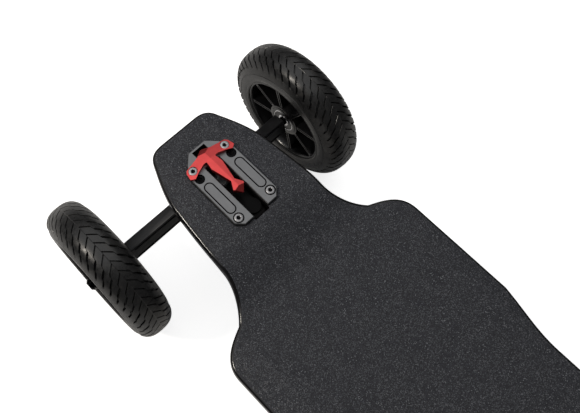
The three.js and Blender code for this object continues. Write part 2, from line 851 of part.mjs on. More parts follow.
// A point of the belt at a distance from the far side of the big pulley, with the small pulley
// on the +X side, moved outwards by a given offset.
function beltPoint(distance, offset) {
  const whole = beltTeeth * belt.pitch;
  const wound = ((distance % whole) + whole) % whole;
  const upper = wound <= whole / 2;
  const run = upper ? wound : whole - wound;
  let x;
  let y;
  if (run < bigWrap) {
    const angle = Math.PI - run / bigRadius;
    x = (bigRadius + offset) * Math.cos(angle);
    y = (bigRadius + offset) * Math.sin(angle);
  } else if (run < bigWrap + straightRun) {
    const angle = quarterTurn - beltLean;
    const done = run - bigWrap;
    x = (bigRadius + offset) * Math.cos(angle) + done * Math.sin(angle);
    y = (bigRadius + offset) * Math.sin(angle) - done * Math.cos(angle);
  } else {
    const angle = quarterTurn - beltLean - (run - bigWrap - straightRun) / smallRadius;
    x = centres + (smallRadius + offset) * Math.cos(angle);
    y = (smallRadius + offset) * Math.sin(angle);
  }
  return [x, upper ? y : -y];
}

function makeBelt() {
  const outer = [];
  const inner = [];
  for (let i = 0; i < beltTeeth; i += 1) {
    const middle = i * belt.pitch;
    const root = -belt.pitchLine;
    const tip = root - belt.tooth;
    inner.push(beltPoint(middle - belt.toothBase / 2, root), beltPoint(middle, tip));
    inner.push(beltPoint(middle + belt.toothBase / 2, root));
    const run = Math.min(middle, beltTeeth * belt.pitch - middle);
    const nearEnds = [bigWrap, bigWrap + straightRun].some((place) => Math.abs(run - place) < belt.pitch);
    if (run < bigWrap || run > bigWrap + straightRun || nearEnds) {
      outer.push(beltPoint(middle, belt.back));
    }
  }
  const outline = polygon(outer.reverse());
  outline.holes.push(polygon(inner));
  return outline;
}

// A toothed wheel with its first groove at a given angle.
function pulleyOutline(teeth, radius, firstGroove) {
  const land = radius - belt.pitchLine - pulley.clearance;
  const floor = land - belt.tooth - pulley.clearance;
  const points = [];
  for (let i = 0; i < teeth; i += 1) {
    const middle = firstGroove + (i * 2 * Math.PI) / teeth;
    const side = (belt.toothBase / 2 + pulley.clearance) / radius;
    for (const [angle, r] of [[middle - side, land], [middle, floor], [middle + side, land]]) {
      points.push([r * Math.cos(angle), r * Math.sin(angle)]);
    }
  }
  return polygon(points);
}

const beltInner = wheelMiddle - tyre.width / 2 - pulley.flange - loose - belt.width - gap;
const beltOuter = beltInner + belt.width;
const mountHigh = beltInner - pulley.flange - mount.fromPulley;
const mountLow = mountHigh - mount.thickness;
const driveDirection = Math.PI + THREE.MathUtils.degToRad(motor.drop);

// Turns a piece made in the belt's plane, big pulley at the origin, to its place on the truck.
function inDrive(geometry, middle) {
  return geometry.rotateY(-driveDirection).translate(axlePlace.x, middle, axlePlace.y);
}

function makeWheelPulley() {
  const outline = pulleyOutline(wheelTeeth, bigRadius, Math.PI);
  outline.holes.push(new THREE.Path().absarc(0, 0, pulley.bore / 2, 0, 4 * quarterTurn, true));
  const ring = ringProfile(
    pulley.bore / 2, pulley.standoff / 2, beltOuter, wheelMiddle - hub.bossInner - gap);
  const toothed = inDrive(across(outline, beltInner, beltOuter + pulley.flange), 0);
  return join(toothed, turned(ring).translate(axlePlace.x, 0, axlePlace.y));
}

function makeRotor() {
  const phase = beltTeeth % 2 ? Math.PI / motorTeeth : 0;
  const outline = pulleyOutline(motorTeeth, smallRadius, phase);
  const [can, shaft] = [motor.diameter / 2, motor.shaft / 2];
  const low = mountLow - motor.flange - gap - motor.length;
  const high = mountLow - motor.flange - loose;
  const rim = smallRadius + belt.back + pulley.flangeRise;
  const profile = [
    [0, low], [can, low], [can, high], [can - motor.wall, high], [can - motor.wall, low + motor.endCap],
    [shaft, low + motor.endCap], [shaft, beltInner - pulley.flange], [rim, beltInner - pulley.flange],
    [rim, beltInner - gap], [shaft, beltInner - gap], [shaft, beltOuter + gap], [rim, beltOuter + gap],
    [rim, beltOuter + pulley.flange], [0, beltOuter + pulley.flange],
  ];
  const toothed = inDrive(across(outline, beltInner - gap, beltOuter + gap).translate(centres, 0, 0), 0);
  return join(inDrive(turned(profile).translate(centres, 0, 0), 0), toothed);
}

function makeStator() {
  const [can, core, bore] = [motor.diameter / 2, motor.stator / 2, motor.shaft / 2 + gap];
  const high = mountLow - gap;
  const low = high - motor.flange + gap;
  const end = mountLow - motor.flange - gap - motor.length + motor.endCap + motor.lip;
  return inDrive(turned([
    [bore, end], [core, end], [core, low], [can, low], [can, high], [bore, high], [bore, end],
  ]).translate(centres, 0, 0), 0);
}

function makeMotorMount() {
  const tilt = THREE.MathUtils.degToRad(hanger.barTilt);
  const motorX = axlePlace.x + centres * Math.cos(driveDirection);
  const motorZ = axlePlace.y + centres * Math.sin(driveDirection);
  const [w, h] = [hanger.barWidth / 2 + gap, hanger.barHeight / 2 + gap];
  const wall = mount.clampWall;
  const clamp = rectangle(-w - wall, w + wall, -h - wall, h + wall);
  const hole = rectangle(-w, w, -h, h);
  const arm = new THREE.Shape();
  const reach = h + wall;
  arm.absarc(0, 0, reach, quarterTurn, 3 * quarterTurn, true);
  arm.absarc(centres, 0, motor.diameter / 2, -quarterTurn, quarterTurn);
  const place = (geometry) => geometry.rotateY(tilt).translate(axlePlace.x, 0, axlePlace.y);
  let body = join(
    inDrive(across(arm, mountLow, mountHigh, screwSides), 0),
    place(across(clamp, mountHigh - mount.clampLength, mountHigh)),
  );
  const through = [mountHigh - mount.clampLength - overrun, mountHigh + overrun];
  body = cut(body, place(across(hole, ...through)));
  return cut(body, rod(motor.shaft, 0, mountHigh + overrun).translate(motorX, 0, motorZ));
}

function mirrorSide(body, side) {
  return side > 0 ? body : body.mirror([0, 1, 0]);
}

function makeDrive(group, sign) {
  for (const side of [1, -1]) {
    const hand = side * sign > 0 ? 'left' : 'right';
    const add = (name, body, material) => place(group, `${name}_${hand}`, mirrorSide(body, side), material);
    add('wheel_pulley', makeWheelPulley(), finishes.black);
    add('drive_belt', solid(inDrive(across(makeBelt(), beltInner, beltOuter), 0)), finishes.rubber);
    add('motor_rotor', makeRotor(), finishes.darkSteel);
    add('motor_stator', solid(makeStator()), finishes.anodised);
    add('motor_mount', makeMotorMount(), finishes.black);
  }
}

// One truck with its wheels
function makeTruck(end, sign) {
  const group = new THREE.Group();
  group.position.x = sign * boltsFromMiddle;
  group.rotation.z = sign > 0 ? 0 : Math.PI;
  makeTopPieces(group, end, sign);
  place(group, `${end}_truck_base`, makeBase(), finishes.black);
  place(group, `${end}_pivot_cup`, makeCup(), finishes.urethane);
  place(group, `${end}_kingpin`, makeKingpin(), finishes.steel);
  place(group, `${end}_boardside_bushing`, makeBushing(1), finishes.urethane);
  place(group, `${end}_roadside_bushing`, makeBushing(-1), finishes.urethane);
  place(group, `${end}_hanger`, makeHanger(), finishes.black);
  place(group, `${end}_axle`, makeAxle(), finishes.darkSteel);
  makeWheels(group, end, sign);
  if (sign < 0) {
    makeDrive(group, sign);
  }
  board.add(group);
}

// Battery case with what it holds
function roundedBox(length, width, corner) {
  const [x, y] = [length / 2, width / 2];
  const shape = new THREE.Shape();
  shape.absarc(x - corner, y - corner, corner, 0, quarterTurn);
  shape.absarc(-x + corner, y - corner, corner, quarterTurn, 2 * quarterTurn);
  shape.absarc(-x + corner, -y + corner, corner, 2 * quarterTurn, 3 * quarterTurn);
  shape.absarc(x - corner, -y + corner, corner, 3 * quarterTurn, 4 * quarterTurn);
  return shape;
}

const caseTop = underPlatform - gap;
const caseLow = caseTop - box.depth;
const sideWall = box.width / 2;
const socketX = -box.length / 2 + socket.fromRear;
const buttonX = socketX + button.fromSocket;
const fittingsZ = (caseTop + caseLow) / 2;

// A profile turned about an axis that points out of the case's left wall.
function outOfWall(profile, x, sides = roundSides) {
  return turned(profile, sides).translate(x, sideWall, fittingsZ);
}

function wallCut(radius) {
  return [[0, -box.wall - overrun], [radius, -box.wall - overrun], [radius, overrun], [0, overrun]];
}

function makeCase() {
  const outer = upright(roundedBox(box.length, box.width, box.corner), caseLow, caseTop, curveSteps);
  const lower = { bevelEnabled: true, bevelThickness: box.taper, bevelSize: box.taper, bevelSegments: 1 };
  const length = box.length - 2 * box.taper;
  const width = box.width - 2 * box.taper;
  const inner = roundedBox(length, width, box.corner - box.taper);
  const eased = new THREE.ExtrudeGeometry(inner, { ...lower, depth: box.depth, curveSegments: curveSteps });
  const shell = solid(outer).intersect(solid(eased.translate(0, 0, caseLow + box.taper)));
  const hollow = roundedBox(box.length - 2 * box.wall, box.width - 2 * box.wall, box.corner - box.wall);
  return cut(
    shell,
    upright(hollow, caseLow + box.wall + box.taper, caseTop + overrun, curveSteps),
    outOfWall(wallCut(socket.diameter / 2 + gap), socketX),
    outOfWall(wallCut(button.diameter / 2 + gap), buttonX),
  );
}

const packFront = box.length / 2 - box.endMargin;
const controllerRear = -packFront;
const controllerFront = controllerRear + box.controllerLength;
const packRear = controllerFront + box.controllerGap;
const innerFloor = caseLow + box.wall + box.taper + gap;

function makePack() {
  const wide = box.width / 2 - box.packMargin;
  const [top, valley] = [innerFloor + box.packHeight, innerFloor + box.packHeight - box.cellCrest];
  const points = [];
  const step = (packFront - packRear) / cells;
  for (let i = 0; i < cells; i += 1) {
    const x = packFront - i * step;
    points.push([x, valley], [x - step / 2, top]);
  }
  points.push([packRear, valley], [packRear, innerFloor], [packFront, innerFloor]);
  return across(polygon(points), -wide, wide);
}

function makeController() {
  const half = box.controllerWidth / 2;
  const points = [[half, innerFloor], [-half, innerFloor]];
  const step = box.controllerWidth / (2 * fins - 1);
  const top = innerFloor + box.controllerHeight;
  for (let i = 0; i < fins; i += 1) {
    const y = -half + 2 * i * step;
    points.push([y, top], [y + step, top]);
    if (i < fins - 1) {
      points.push([y + step, top - box.fin], [y + 2 * step, top - box.fin]);
    }
  }
  return lengthwise(polygon(points), controllerRear, controllerFront);
}

function makeSocket() {
  const [barrel, flange, recess] = [socket.diameter / 2, socket.flange / 2, socket.recess / 2];
  const [low, high] = [-socket.depth, gap + socket.flangeThickness];
  return outOfWall([
    [0, low], [barrel, low], [barrel, gap], [flange, gap], [flange, high], [recess, high],
    [recess, high - socket.recessDepth], [0, high - socket.recessDepth],
  ], socketX);
}

const flapSeat = sideWall + gap + socket.flangeThickness + gap;
const capHingeZ = fittingsZ + cap.height / 2 + cap.hinge / 2;

function makeCap() {
  const half = cap.width / 2;
  const low = fittingsZ - cap.height / 2;
  const flap = block(socketX - half, socketX + half, flapSeat, flapSeat + cap.thickness, low, capHingeZ);
  const barrel = rod(cap.hinge / 2, -half, half, screwSides).rotateZ(quarterTurn);
  return join(flap, barrel.translate(socketX, flapSeat + cap.hinge / 2, capHingeZ));
}

function makeButton() {
  const [stem, collar] = [button.diameter / 2, button.collar / 2];
  const inside = -box.wall - gap;
  return outOfWall([
    [0, inside - button.length + button.proud], [collar, inside - button.length + button.proud],
    [collar, inside - button.travel], [stem, inside - button.travel], [stem, button.proud],
    [0, button.proud],
  ], buttonX);
}

makeDeck();
makeTruck('front', 1);
makeTruck('rear', -1);
place(board, 'battery_case', makeCase(), finishes.black);
place(board, 'battery_pack', makePack(), finishes.wrap);
place(board, 'motor_controller', makeController(), finishes.anodised);
place(board, 'charge_socket', makeSocket(), finishes.black);
place(board, 'charge_cap', makeCap(), finishes.rubber);
place(board, 'power_button', makeButton(), finishes.steel);

export default board;
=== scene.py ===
# Electric mountainboard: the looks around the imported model.
# Shapes are worked out in millimetres and become meshes in metres. +X points to the nose, +Y to
# the left and +Z up. A truck's own places are measured from the screws at its plate's legs.
from math import asin, copysign, cos, dist, hypot, pi, radians, sin, sqrt

import bmesh
import bpy
import numpy as np
from mathutils import Matrix, Vector
from mathutils.geometry import tessellate_polygon


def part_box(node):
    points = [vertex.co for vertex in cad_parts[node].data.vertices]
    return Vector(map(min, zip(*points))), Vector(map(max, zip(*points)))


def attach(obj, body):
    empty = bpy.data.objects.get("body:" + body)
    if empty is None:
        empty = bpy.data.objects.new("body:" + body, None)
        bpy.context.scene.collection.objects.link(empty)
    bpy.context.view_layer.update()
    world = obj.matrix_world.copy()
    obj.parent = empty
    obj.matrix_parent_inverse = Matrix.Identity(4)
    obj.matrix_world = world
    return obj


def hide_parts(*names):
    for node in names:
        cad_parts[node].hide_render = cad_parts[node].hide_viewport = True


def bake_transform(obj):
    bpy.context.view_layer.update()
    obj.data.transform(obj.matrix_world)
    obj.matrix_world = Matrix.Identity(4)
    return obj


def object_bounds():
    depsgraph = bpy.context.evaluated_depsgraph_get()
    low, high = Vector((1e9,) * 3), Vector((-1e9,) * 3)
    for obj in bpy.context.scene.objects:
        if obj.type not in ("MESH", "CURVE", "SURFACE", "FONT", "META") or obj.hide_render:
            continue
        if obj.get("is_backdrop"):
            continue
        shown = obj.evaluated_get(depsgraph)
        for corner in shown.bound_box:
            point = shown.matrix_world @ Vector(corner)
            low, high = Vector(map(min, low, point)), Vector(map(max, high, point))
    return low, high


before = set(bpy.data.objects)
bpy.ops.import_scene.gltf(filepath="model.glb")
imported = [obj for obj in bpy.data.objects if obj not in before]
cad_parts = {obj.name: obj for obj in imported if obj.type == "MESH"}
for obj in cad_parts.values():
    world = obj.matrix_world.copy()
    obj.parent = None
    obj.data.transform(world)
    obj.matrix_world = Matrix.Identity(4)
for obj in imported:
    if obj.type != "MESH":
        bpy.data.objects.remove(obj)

cad_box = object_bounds()
scene = bpy.context.scene
MM = 0.001
FULL, QUARTER = 2 * pi, pi / 2
ENDS = {"front": 1, "rear": -1}
SIDES = {"left": 1, "right": -1}
MERGED = 1e-6


def rest_box(node):
    """Lowest and highest corner of a node at rest, in millimetres."""
    low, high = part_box(node)
    return np.array(low) / MM, np.array(high) / MM


def middle(node):
    return sum(rest_box(node)) / 2


# Sizes that the shapes share
GAP = 0.3
# How far a cutting tool reaches past a face, and how far joined shapes sink into each other
PAST, FAR_PAST, SUNK = 1, 6, 1
HOLE_SIDES, ROD_SIDES, RING_SIDES, MOTOR_SIDES = 32, 48, 72, 96
SHANK = 2.4
AXLE_FROM_BOLTS = 71.3
AXLE = middle("front_axle")
WHEEL_Y = middle("front_left_tyre")[1]
CROWN = AXLE[2]
BOLTS_X = AXLE[0] - AXLE_FROM_BOLTS
(_, _, DECK_LOW), (DECK_HALF, DECK_HALF_WIDTH, DECK_TOP) = rest_box("deck")
(_, _, PLATE_LOW), (_, _, PLATE_TOP) = rest_box("front_top_plate")
GRIP_TOP = rest_box("grip_tape")[1][2]
_, HUB_HALF, HUB_RADIUS = np.subtract(*rest_box("front_left_hub")[::-1]) / 2
BEAD = HUB_RADIUS + GAP
HEXAGON = "hexagon"


# Shapes: each is a pair of points and faces
def unit(rows):
    return rows / np.linalg.norm(rows, axis=-1, keepdims=True)


def moved(shape, matrix):
    points, faces = shape
    matrix = np.array(matrix)
    if np.linalg.det(matrix[:3, :3]) < 0:
        faces = [tuple(reversed(face)) for face in faces]
    return np.asarray(points, float) @ matrix[:3, :3].T + matrix[:3, 3], faces


def together(*shapes):
    points, faces, count = [], [], 0
    for shape_points, shape_faces in shapes:
        points.append(np.asarray(shape_points, float))
        faces += [tuple(i + count for i in face) for face in shape_faces]
        count += len(shape_points)
    return np.concatenate(points), faces


def ring_faces(rings, sides, closed):
    """Quads between rings that follow each other, all with the same number of points."""
    faces = []
    for i in range(rings if closed else rings - 1):
        here, there = i * sides, ((i + 1) % rings) * sides
        for j in range(sides):
            k = (j + 1) % sides
            faces.append((here + j, here + k, there + k, there + j))
    return faces


def lathe(profile, sides=64):
    """A profile of radius and height turned about Z. It starts and ends on the axis, or closes.
    A row marked as a hexagon has half its width over the flats as its radius."""
    on_axis = profile[0][0] == 0
    inner = profile[1:-1] if on_axis else profile
    angles = np.arange(sides) * FULL / sides
    off_flat = (angles + FULL / 12) % (FULL / 6) - FULL / 12
    points = []
    for radius, height, *form in inner:
        radii = radius / np.cos(off_flat) if form else radius
        points += zip(radii * np.cos(angles), radii * np.sin(angles), [height] * sides)
    faces = ring_faces(len(inner), sides, not on_axis)
    if on_axis:
        first, last = len(points), len(points) + 1
        points += [(0, 0, profile[0][1]), (0, 0, profile[-1][1])]
        rim = (len(inner) - 1) * sides
        for j in range(sides):
            k = (j + 1) % sides
            faces += [(first, k, j), (last, rim + j, rim + k)]
    return np.array(points), faces


def disc(radius, low, high, sides=48):
    return lathe([(0, low), (radius, low), (radius, high), (0, high)], sides)


def drill(place, radius, low, high, sides=48):
    return moved(disc(radius, low, high, sides), place)


def inset_loop(loop, distance):
    """Moves each side of a loop to its left, which is inwards where the loop runs anticlockwise."""
    loop = np.asarray(loop, float)
    before, after = unit(loop - np.roll(loop, 1, 0)), unit(np.roll(loop, -1, 0) - loop)
    one = np.stack([-before[:, 1], before[:, 0]], 1)
    two = np.stack([-after[:, 1], after[:, 0]], 1)
    return loop + distance * (one + two) / (1 + (one * two).sum(1, keepdims=True))


def rounding(edge, steps):
    """How far in from the wall and how far from the face each step of a round edge lies."""
    if not edge:
        return [(0, 0)]
    turns = [i / steps * QUARTER for i in range(steps + 1)]
    return [(edge * (1 - sin(t)), edge * (1 - cos(t))) for t in turns]


def slab(loops, low, high, edge=0.0, steps=1, foot_edge=None, hole_share=1.0):
    """A plate from its outline and its holes, which run clockwise, with its edges rounded."""
    foot_steps = rounding(edge if foot_edge is None else foot_edge, steps)
    levels = [(inset, low + rise) for inset, rise in foot_steps]
    levels += [(inset, high - drop) for inset, drop in reversed(rounding(edge, steps))]
    points, faces, caps = [], [], [[], []]
    for number, loop in enumerate(loops):
        sides = len(loop)
        start = len(points)
        for inset, z in levels:
            share = hole_share if number else 1
            points += [(x, y, z) for x, y in inset_loop(loop, inset * share)]
        faces += [tuple(start + i for i in face) for face in ring_faces(len(levels), sides, False)]
        caps[0].append(range(start, start + sides))
        caps[1].append(range(start + (len(levels) - 1) * sides, start + len(levels) * sides))
    for cap, upward in zip(caps, (False, True)):
        order = [i for ring in cap for i in ring]
        if len(loops) == 1:
            faces.append(tuple(order if upward else reversed(order)))
            continue
        for triangle in tessellate_polygon([[Vector(points[i]) for i in ring] for ring in cap]):
            corners = [order[i] for i in triangle]
            a, b, c = (Vector(points[i]) for i in corners)
            up = (b - a).cross(c - a).z > 0
            faces.append(tuple(corners if up == upward else reversed(corners)))
    return np.array(points), faces


def round_hole(radius, x=0.0, y=0.0, sides=20):
    """A clockwise circle."""
    angles = -np.arange(sides) * FULL / sides
    return np.stack([x + radius * np.cos(angles), y + radius * np.sin(angles)], 1)


def mirrored(half):
    """A whole outline, anticlockwise, from the left half that runs from the front to the rear."""
    return half + [(x, -y) for x, y in reversed(half)]


def symmetric(half):
    """A form that runs across, from the half that ends on its middle."""
    return half + [(-x, y) for x, y in half[-2::-1]]


def rectangle(rear, front, half):
    """An anticlockwise rectangle, as wide to the left as to the right."""
    return [(front, half), (rear, half), (rear, -half), (front, -half)]


def arc(x, y, radius, start, end, count):
    turns = np.linspace(start, end, count)
    return [(x + radius * cos(t), y + radius * sin(t)) for t in turns]


def rounded(low, high, radius, steps=4):
    """An anticlockwise rectangle with round corners."""
    corners = [(high[0], high[1], 0), (low[0], high[1], 1), (low[0], low[1], 2), (high[0], low[1], 3)]
    loop = []
    for x, y, quarter in corners:
        a = quarter * QUARTER
        x -= radius * (cos(a + QUARTER / 2) > 0 or -1)
        y -= radius * (sin(a + QUARTER / 2) > 0 or -1)
        loop += arc(x, y, radius, a, a + QUARTER, steps + 1)
    return loop


def pill(length, radius, x, y, sides=16):
    """A slot-shaped loop along X with round ends."""
    front = arc(x + length / 2, y, radius, -QUARTER, QUARTER, sides)
    return front + arc(x - length / 2, y, radius, QUARTER, 3 * QUARTER, sides)


def at(x=0.0, y=0.0, z=0.0):
    return Matrix.Translation((x, y, z))


def turn(angle, axis):
    return Matrix.Rotation(angle, 4, axis)


def half_turn(sign, axis="Z"):
    """Leaves one end or side as it is and turns the other round."""
    return turn(0 if sign > 0 else pi, axis)


def around(count, start=0.0, axis="Z"):
    """Turns that spread copies evenly round an axis."""
    return [turn(start + i * FULL / count, axis) for i in range(count)]


def side_slab(loops, right, left, edge=0.0, steps=1):
    """A plate whose outline is in the side view and which runs from the right to the left."""
    return moved(slab(loops, -left, -right, edge, steps), turn(QUARTER, "X"))


def lengthwise(shape):
    """Turns a slab so that its outline is in the end view and it runs along X."""
    return moved(shape, Matrix(((0, 0, 1, 0), (1, 0, 0, 0), (0, 1, 0, 0), (0, 0, 0, 1))))


# Objects
def build(name, shape, *finishes):
    points, faces = shape
    mesh = bpy.data.meshes.new(name)
    mesh.from_pydata((np.asarray(points, float) * MM).tolist(), [], [tuple(f) for f in faces])
    for finish in finishes:
        mesh.materials.append(finish)
    mesh.update()
    obj = bpy.data.objects.new(name, mesh)
    scene.collection.objects.link(obj)
    return obj


def settle(obj):
    """Makes an object's modifiers part of its mesh."""
    evaluated = obj.evaluated_get(bpy.context.evaluated_depsgraph_get())
    mesh = bpy.data.meshes.new_from_object(evaluated)
    obj.modifiers.clear()
    obj.data = mesh


def combine(obj, operation, tool):
    """Joins a tool to an object, cuts it out or keeps what both share, and uses the tool up."""
    change = obj.modifiers.new(operation, "BOOLEAN")
    change.operation = operation
    change.solver = "MANIFOLD"
    change.object = tool
    if len(obj.data.materials) > 1:
        change.material_mode = "TRANSFER"
    settle(obj)
    bpy.data.objects.remove(tool)


def shape_with(obj, operation, shapes):
    """Combines shapes with an object. Cut faces take the object's last finish."""
    for shape in shapes:
        combine(obj, operation, build("tool", shape, *obj.data.materials[-1:]))


def join(obj, *shapes):
    shape_with(obj, "UNION", shapes)


def cut(obj, *shapes):
    shape_with(obj, "DIFFERENCE", shapes)


def soften(obj, width, steps=2, angle=40.0):
    """Rounds the edges of an object that are sharper than an angle."""
    change = obj.modifiers.new("soften", "BEVEL")
    change.width = width * MM
    change.segments = steps
    change.limit_method = "ANGLE"
    change.angle_limit = radians(angle)
    settle(obj)


def shade(obj, angle):
    """Smooths an object, but for the edges that are sharper than an angle."""
    mesh = obj.data
    bm = bmesh.new()
    bm.from_mesh(mesh)
    bmesh.ops.remove_doubles(bm, verts=bm.verts, dist=MERGED)
    bmesh.ops.recalc_face_normals(bm, faces=bm.faces)
    bm.to_mesh(mesh)
    bm.free()
    mesh.shade_smooth()
    mesh.set_sharp_from_angle(angle=radians(angle))


def tint(obj, finish, chosen):
    """Gives a further finish to the faces whose middle, in millimetres, is chosen."""
    obj.data.materials.append(finish)
    for face in obj.data.polygons:
        if chosen(face.center / MM):
            face.material_index = len(obj.data.materials) - 1


def dress(obj, body, slot, node):
    """Puts a finished piece on its body and hides the node that it stands for. The slot is not used."""
    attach(obj, body)
    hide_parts(node)


def put(obj, place, body, slot, node, angle=35.0):
    """Shades a finished piece, puts it in its place and dresses it."""
    shade(obj, angle)
    obj.matrix_world = place
    dress(obj, body, slot, node)


def end_place(sign):
    """The place in the frame of what was built in a truck's own places."""
    return at(sign * BOLTS_X * MM) @ half_turn(sign)


def wheels():
    """Each wheel's name, its place in the frame and its side."""
    for end, forward in ENDS.items():
        for side, sign in SIDES.items():
            yield f"{end}_{side}", at(AXLE[0] * forward * MM, WHEEL_Y * sign * MM, CROWN * MM), sign


# Finishes
def feed(node, inputs):
    """Gives each input of a node, by name or number, its value or a link from another node."""
    for key, value in inputs.items():
        if isinstance(value, bpy.types.NodeSocket):
            node.id_data.links.new(value, node.inputs[key])
        else:
            node.inputs[key].default_value = value
    return node


def add_node(tree, kind, inputs=None, **settings):
    made = tree.nodes.new(kind)
    for key, value in settings.items():
        setattr(made, key, value)
    return feed(made, inputs or {})


class Finish:
    """A material whose colour, roughness and bump come from noise at the piece's own scale."""

    def __init__(self, name, colour, roughness, metallic=0.0):
        self.material = bpy.data.materials.new(name)
        self.material.use_nodes = True
        self.tree = self.material.node_tree
        self.shader = self.tree.nodes["Principled BSDF"]
        self.colour, self.roughness = colour, roughness
        self.set(Metallic=metallic, Base_Color=(*colour, 1), Roughness=roughness)
        self.places = self.add("ShaderNodeTexCoord").outputs["Object"]
        self.normal = None

    def add(self, kind, inputs=None, **settings):
        return add_node(self.tree, kind, inputs, **settings)

    def set(self, **inputs):
        feed(self.shader, {key.replace("_", " "): value for key, value in inputs.items()})

    def stretched(self, x, y, z):
        """The places drawn out along one axis, for brushed or rolled surfaces."""
        inputs = {"Vector": self.places, "Scale": (x, y, z)}
        return self.add("ShaderNodeMapping", inputs).outputs["Vector"]

    def noise(self, size, detail=3.0, places=None):
        inputs = {"Vector": places or self.places, "Scale": 1 / (size * MM), "Detail": detail}
        return self.add("ShaderNodeTexNoise", inputs).outputs["Fac"]

    def grains(self, size, output="Distance"):
        inputs = {"Vector": self.places, "Scale": 1 / (size * MM)}
        return self.add("ShaderNodeTexVoronoi", inputs).outputs[output]

    def curve(self, value, *stops):
        """Maps a value through stops of place and level."""
        ramp = self.add("ShaderNodeValToRGB", {"Fac": value})
        elements = ramp.color_ramp.elements
        while len(elements) < len(stops):
            elements.new(0.5)
        for element, (place, level) in zip(elements, stops):
            element.position = place
            element.color = (*np.broadcast_to(level, 3), 1)
        return ramp.outputs["Color"]

    def between(self, noise, low, high):
        """Maps the middle of a noise's range to the range from low to high."""
        return self.curve(noise, (0.3, low), (0.7, high))

    def bump(self, height, depth, strength):
        """Adds a bump of the given depth in millimetres."""
        inputs = {"Height": height, "Strength": strength, "Distance": depth * MM}
        if self.normal:
            inputs["Normal"] = self.normal
        self.normal = self.add("ShaderNodeBump", inputs).outputs["Normal"]
        self.set(Normal=self.normal)

    def varied(self, size, spread):
        """Lets colour and roughness wander a little about their own values."""
        drift = self.noise(size, 4)
        colours = ([c * (1 + k * spread) for c in self.colour] for k in (-1, 1))
        levels = (self.roughness * (1 + k * spread * 0.6) for k in (-1, 1))
        self.set(Base_Color=self.between(drift, *colours), Roughness=self.between(drift, *levels))
        return self


def grip_finish(grain=0.6):
    """Dark grit: coarse grains of differing grey, a few of them made bright in colour as painted glints."""
    made = Finish("grip_grit", (0.026, 0.028, 0.032), 0.85)
    inputs = {"Color": made.grains(grain, "Color")}
    red, green, blue = made.add("ShaderNodeSeparateColor", inputs).outputs
    # The top stops of both curves are painted glints: the grit's sparkle painted into its colour.
    one = made.curve(red, (0.0, (0.009, 0.01, 0.013)), (0.62, (0.0165, 0.018, 0.024)),
                     (0.92, (0.03, 0.032, 0.042)), (0.985, (0.2, 0.21, 0.23)))
    two = made.curve(green, (0.0, (0.01, 0.011, 0.014)), (0.7, (0.018, 0.0195, 0.026)),
                     (0.98, (0.11, 0.115, 0.13)))
    cloud = made.curve(made.noise(14), (0.35, 0.0), (0.65, 1.0))
    mixed = made.add("ShaderNodeMix", {0: cloud, 6: one, 7: two}, data_type="RGBA")
    made.set(Base_Color=mixed.outputs[2])
    made.set(Roughness=made.curve(blue, (0.0, 0.95), (0.85, 0.75), (0.97, 0.35)))
    made.bump(made.grains(grain), 0.22, 0.7)
    made.bump(made.noise(1.4, 2), 0.15, 0.3)
    return made.material


def lacquer_finish():
    """Black gloss lacquer with a faint waviness."""
    made = Finish("deck_lacquer", (0.004, 0.004, 0.0045), 0.3)
    made.set(Specular_IOR_Level=0.4, Roughness=made.between(made.noise(9, 4), 0.12, 0.22))
    made.bump(made.noise(25, 2), 0.05, 0.4)
    return made.material


def rubber_finish():
    """Tyre rubber: dull black with a fine mould texture and dusty patches."""
    made = Finish("tyre_rubber", (0.022, 0.022, 0.023), 0.52)
    dust = made.curve(made.noise(6, 5), (0.35, (0.009, 0.009, 0.0095)),
                      (0.6, (0.013, 0.013, 0.0135)), (0.75, (0.02, 0.0185, 0.017)))
    made.set(Base_Color=dust, Specular_IOR_Level=0.45)
    made.set(Roughness=made.between(made.noise(3, 4), 0.25, 0.42))
    made.bump(made.noise(0.6), 0.06, 0.5)
    return made.material


def moulded_finish(name, colour, roughness, grain):
    """Moulded plastic with a fine spark-eroded grain."""
    made = Finish(name, colour, roughness).varied(12, 0.22)
    made.set(Specular_IOR_Level=0.42)
    made.bump(made.grains(grain), 0.04, 0.35)
    return made.material


def anodised_finish(name, colour, roughness):
    """Blasted and anodised aluminium: satin with a fine even grain."""
    made = Finish(name, colour, roughness, 1.0).varied(7, 0.07)
    made.bump(made.noise(0.25, 2), 0.03, 0.5)
    return made.material


def coated_finish(name, colour, roughness, sheen):
    """Satin black coat on metal, a little rubbed."""
    made = Finish(name, colour, roughness).varied(10, 0.2)
    made.set(Specular_IOR_Level=sheen)
    made.bump(made.noise(0.5), 0.03, 0.5)
    return made.material


def turned_finish(name, colour, roughness):
    """Turned steel, with fine lines round Y and a slight stain."""
    made = Finish(name, colour, roughness, 1.0)
    lines = made.noise(1.0, 2, made.stretched(1, 9, 1))
    made.set(Base_Color=made.between(made.noise(5, 4), [c * 0.85 for c in colour], colour))
    made.set(Roughness=made.between(lines, roughness * 0.75, roughness * 1.35))
    made.bump(lines, 0.02, 0.4)
    return made.material


def urethane_finish():
    """Smooth cast urethane, faintly uneven."""
    made = Finish("urethane", (0.03, 0.03, 0.033), 0.45).varied(5, 0.15)
    made.bump(made.noise(1.5, 2), 0.04, 0.4)
    return made.material


def wrap_finish():
    """Shrink wrap over cells, a little creased."""
    made = Finish("battery_wrap", (0.02, 0.06, 0.16), 0.3).varied(20, 0.2)
    made.bump(made.noise(8, 4), 0.3, 0.5)
    return made.material


def belt_finish():
    """Belt rubber with cords that show as fine lines across its width."""
    made = Finish("belt_rubber", (0.02, 0.02, 0.02), 0.6).varied(4, 0.2)
    made.bump(made.noise(0.4, 2, made.stretched(1, 0.15, 1)), 0.04, 0.5)
    return made.material


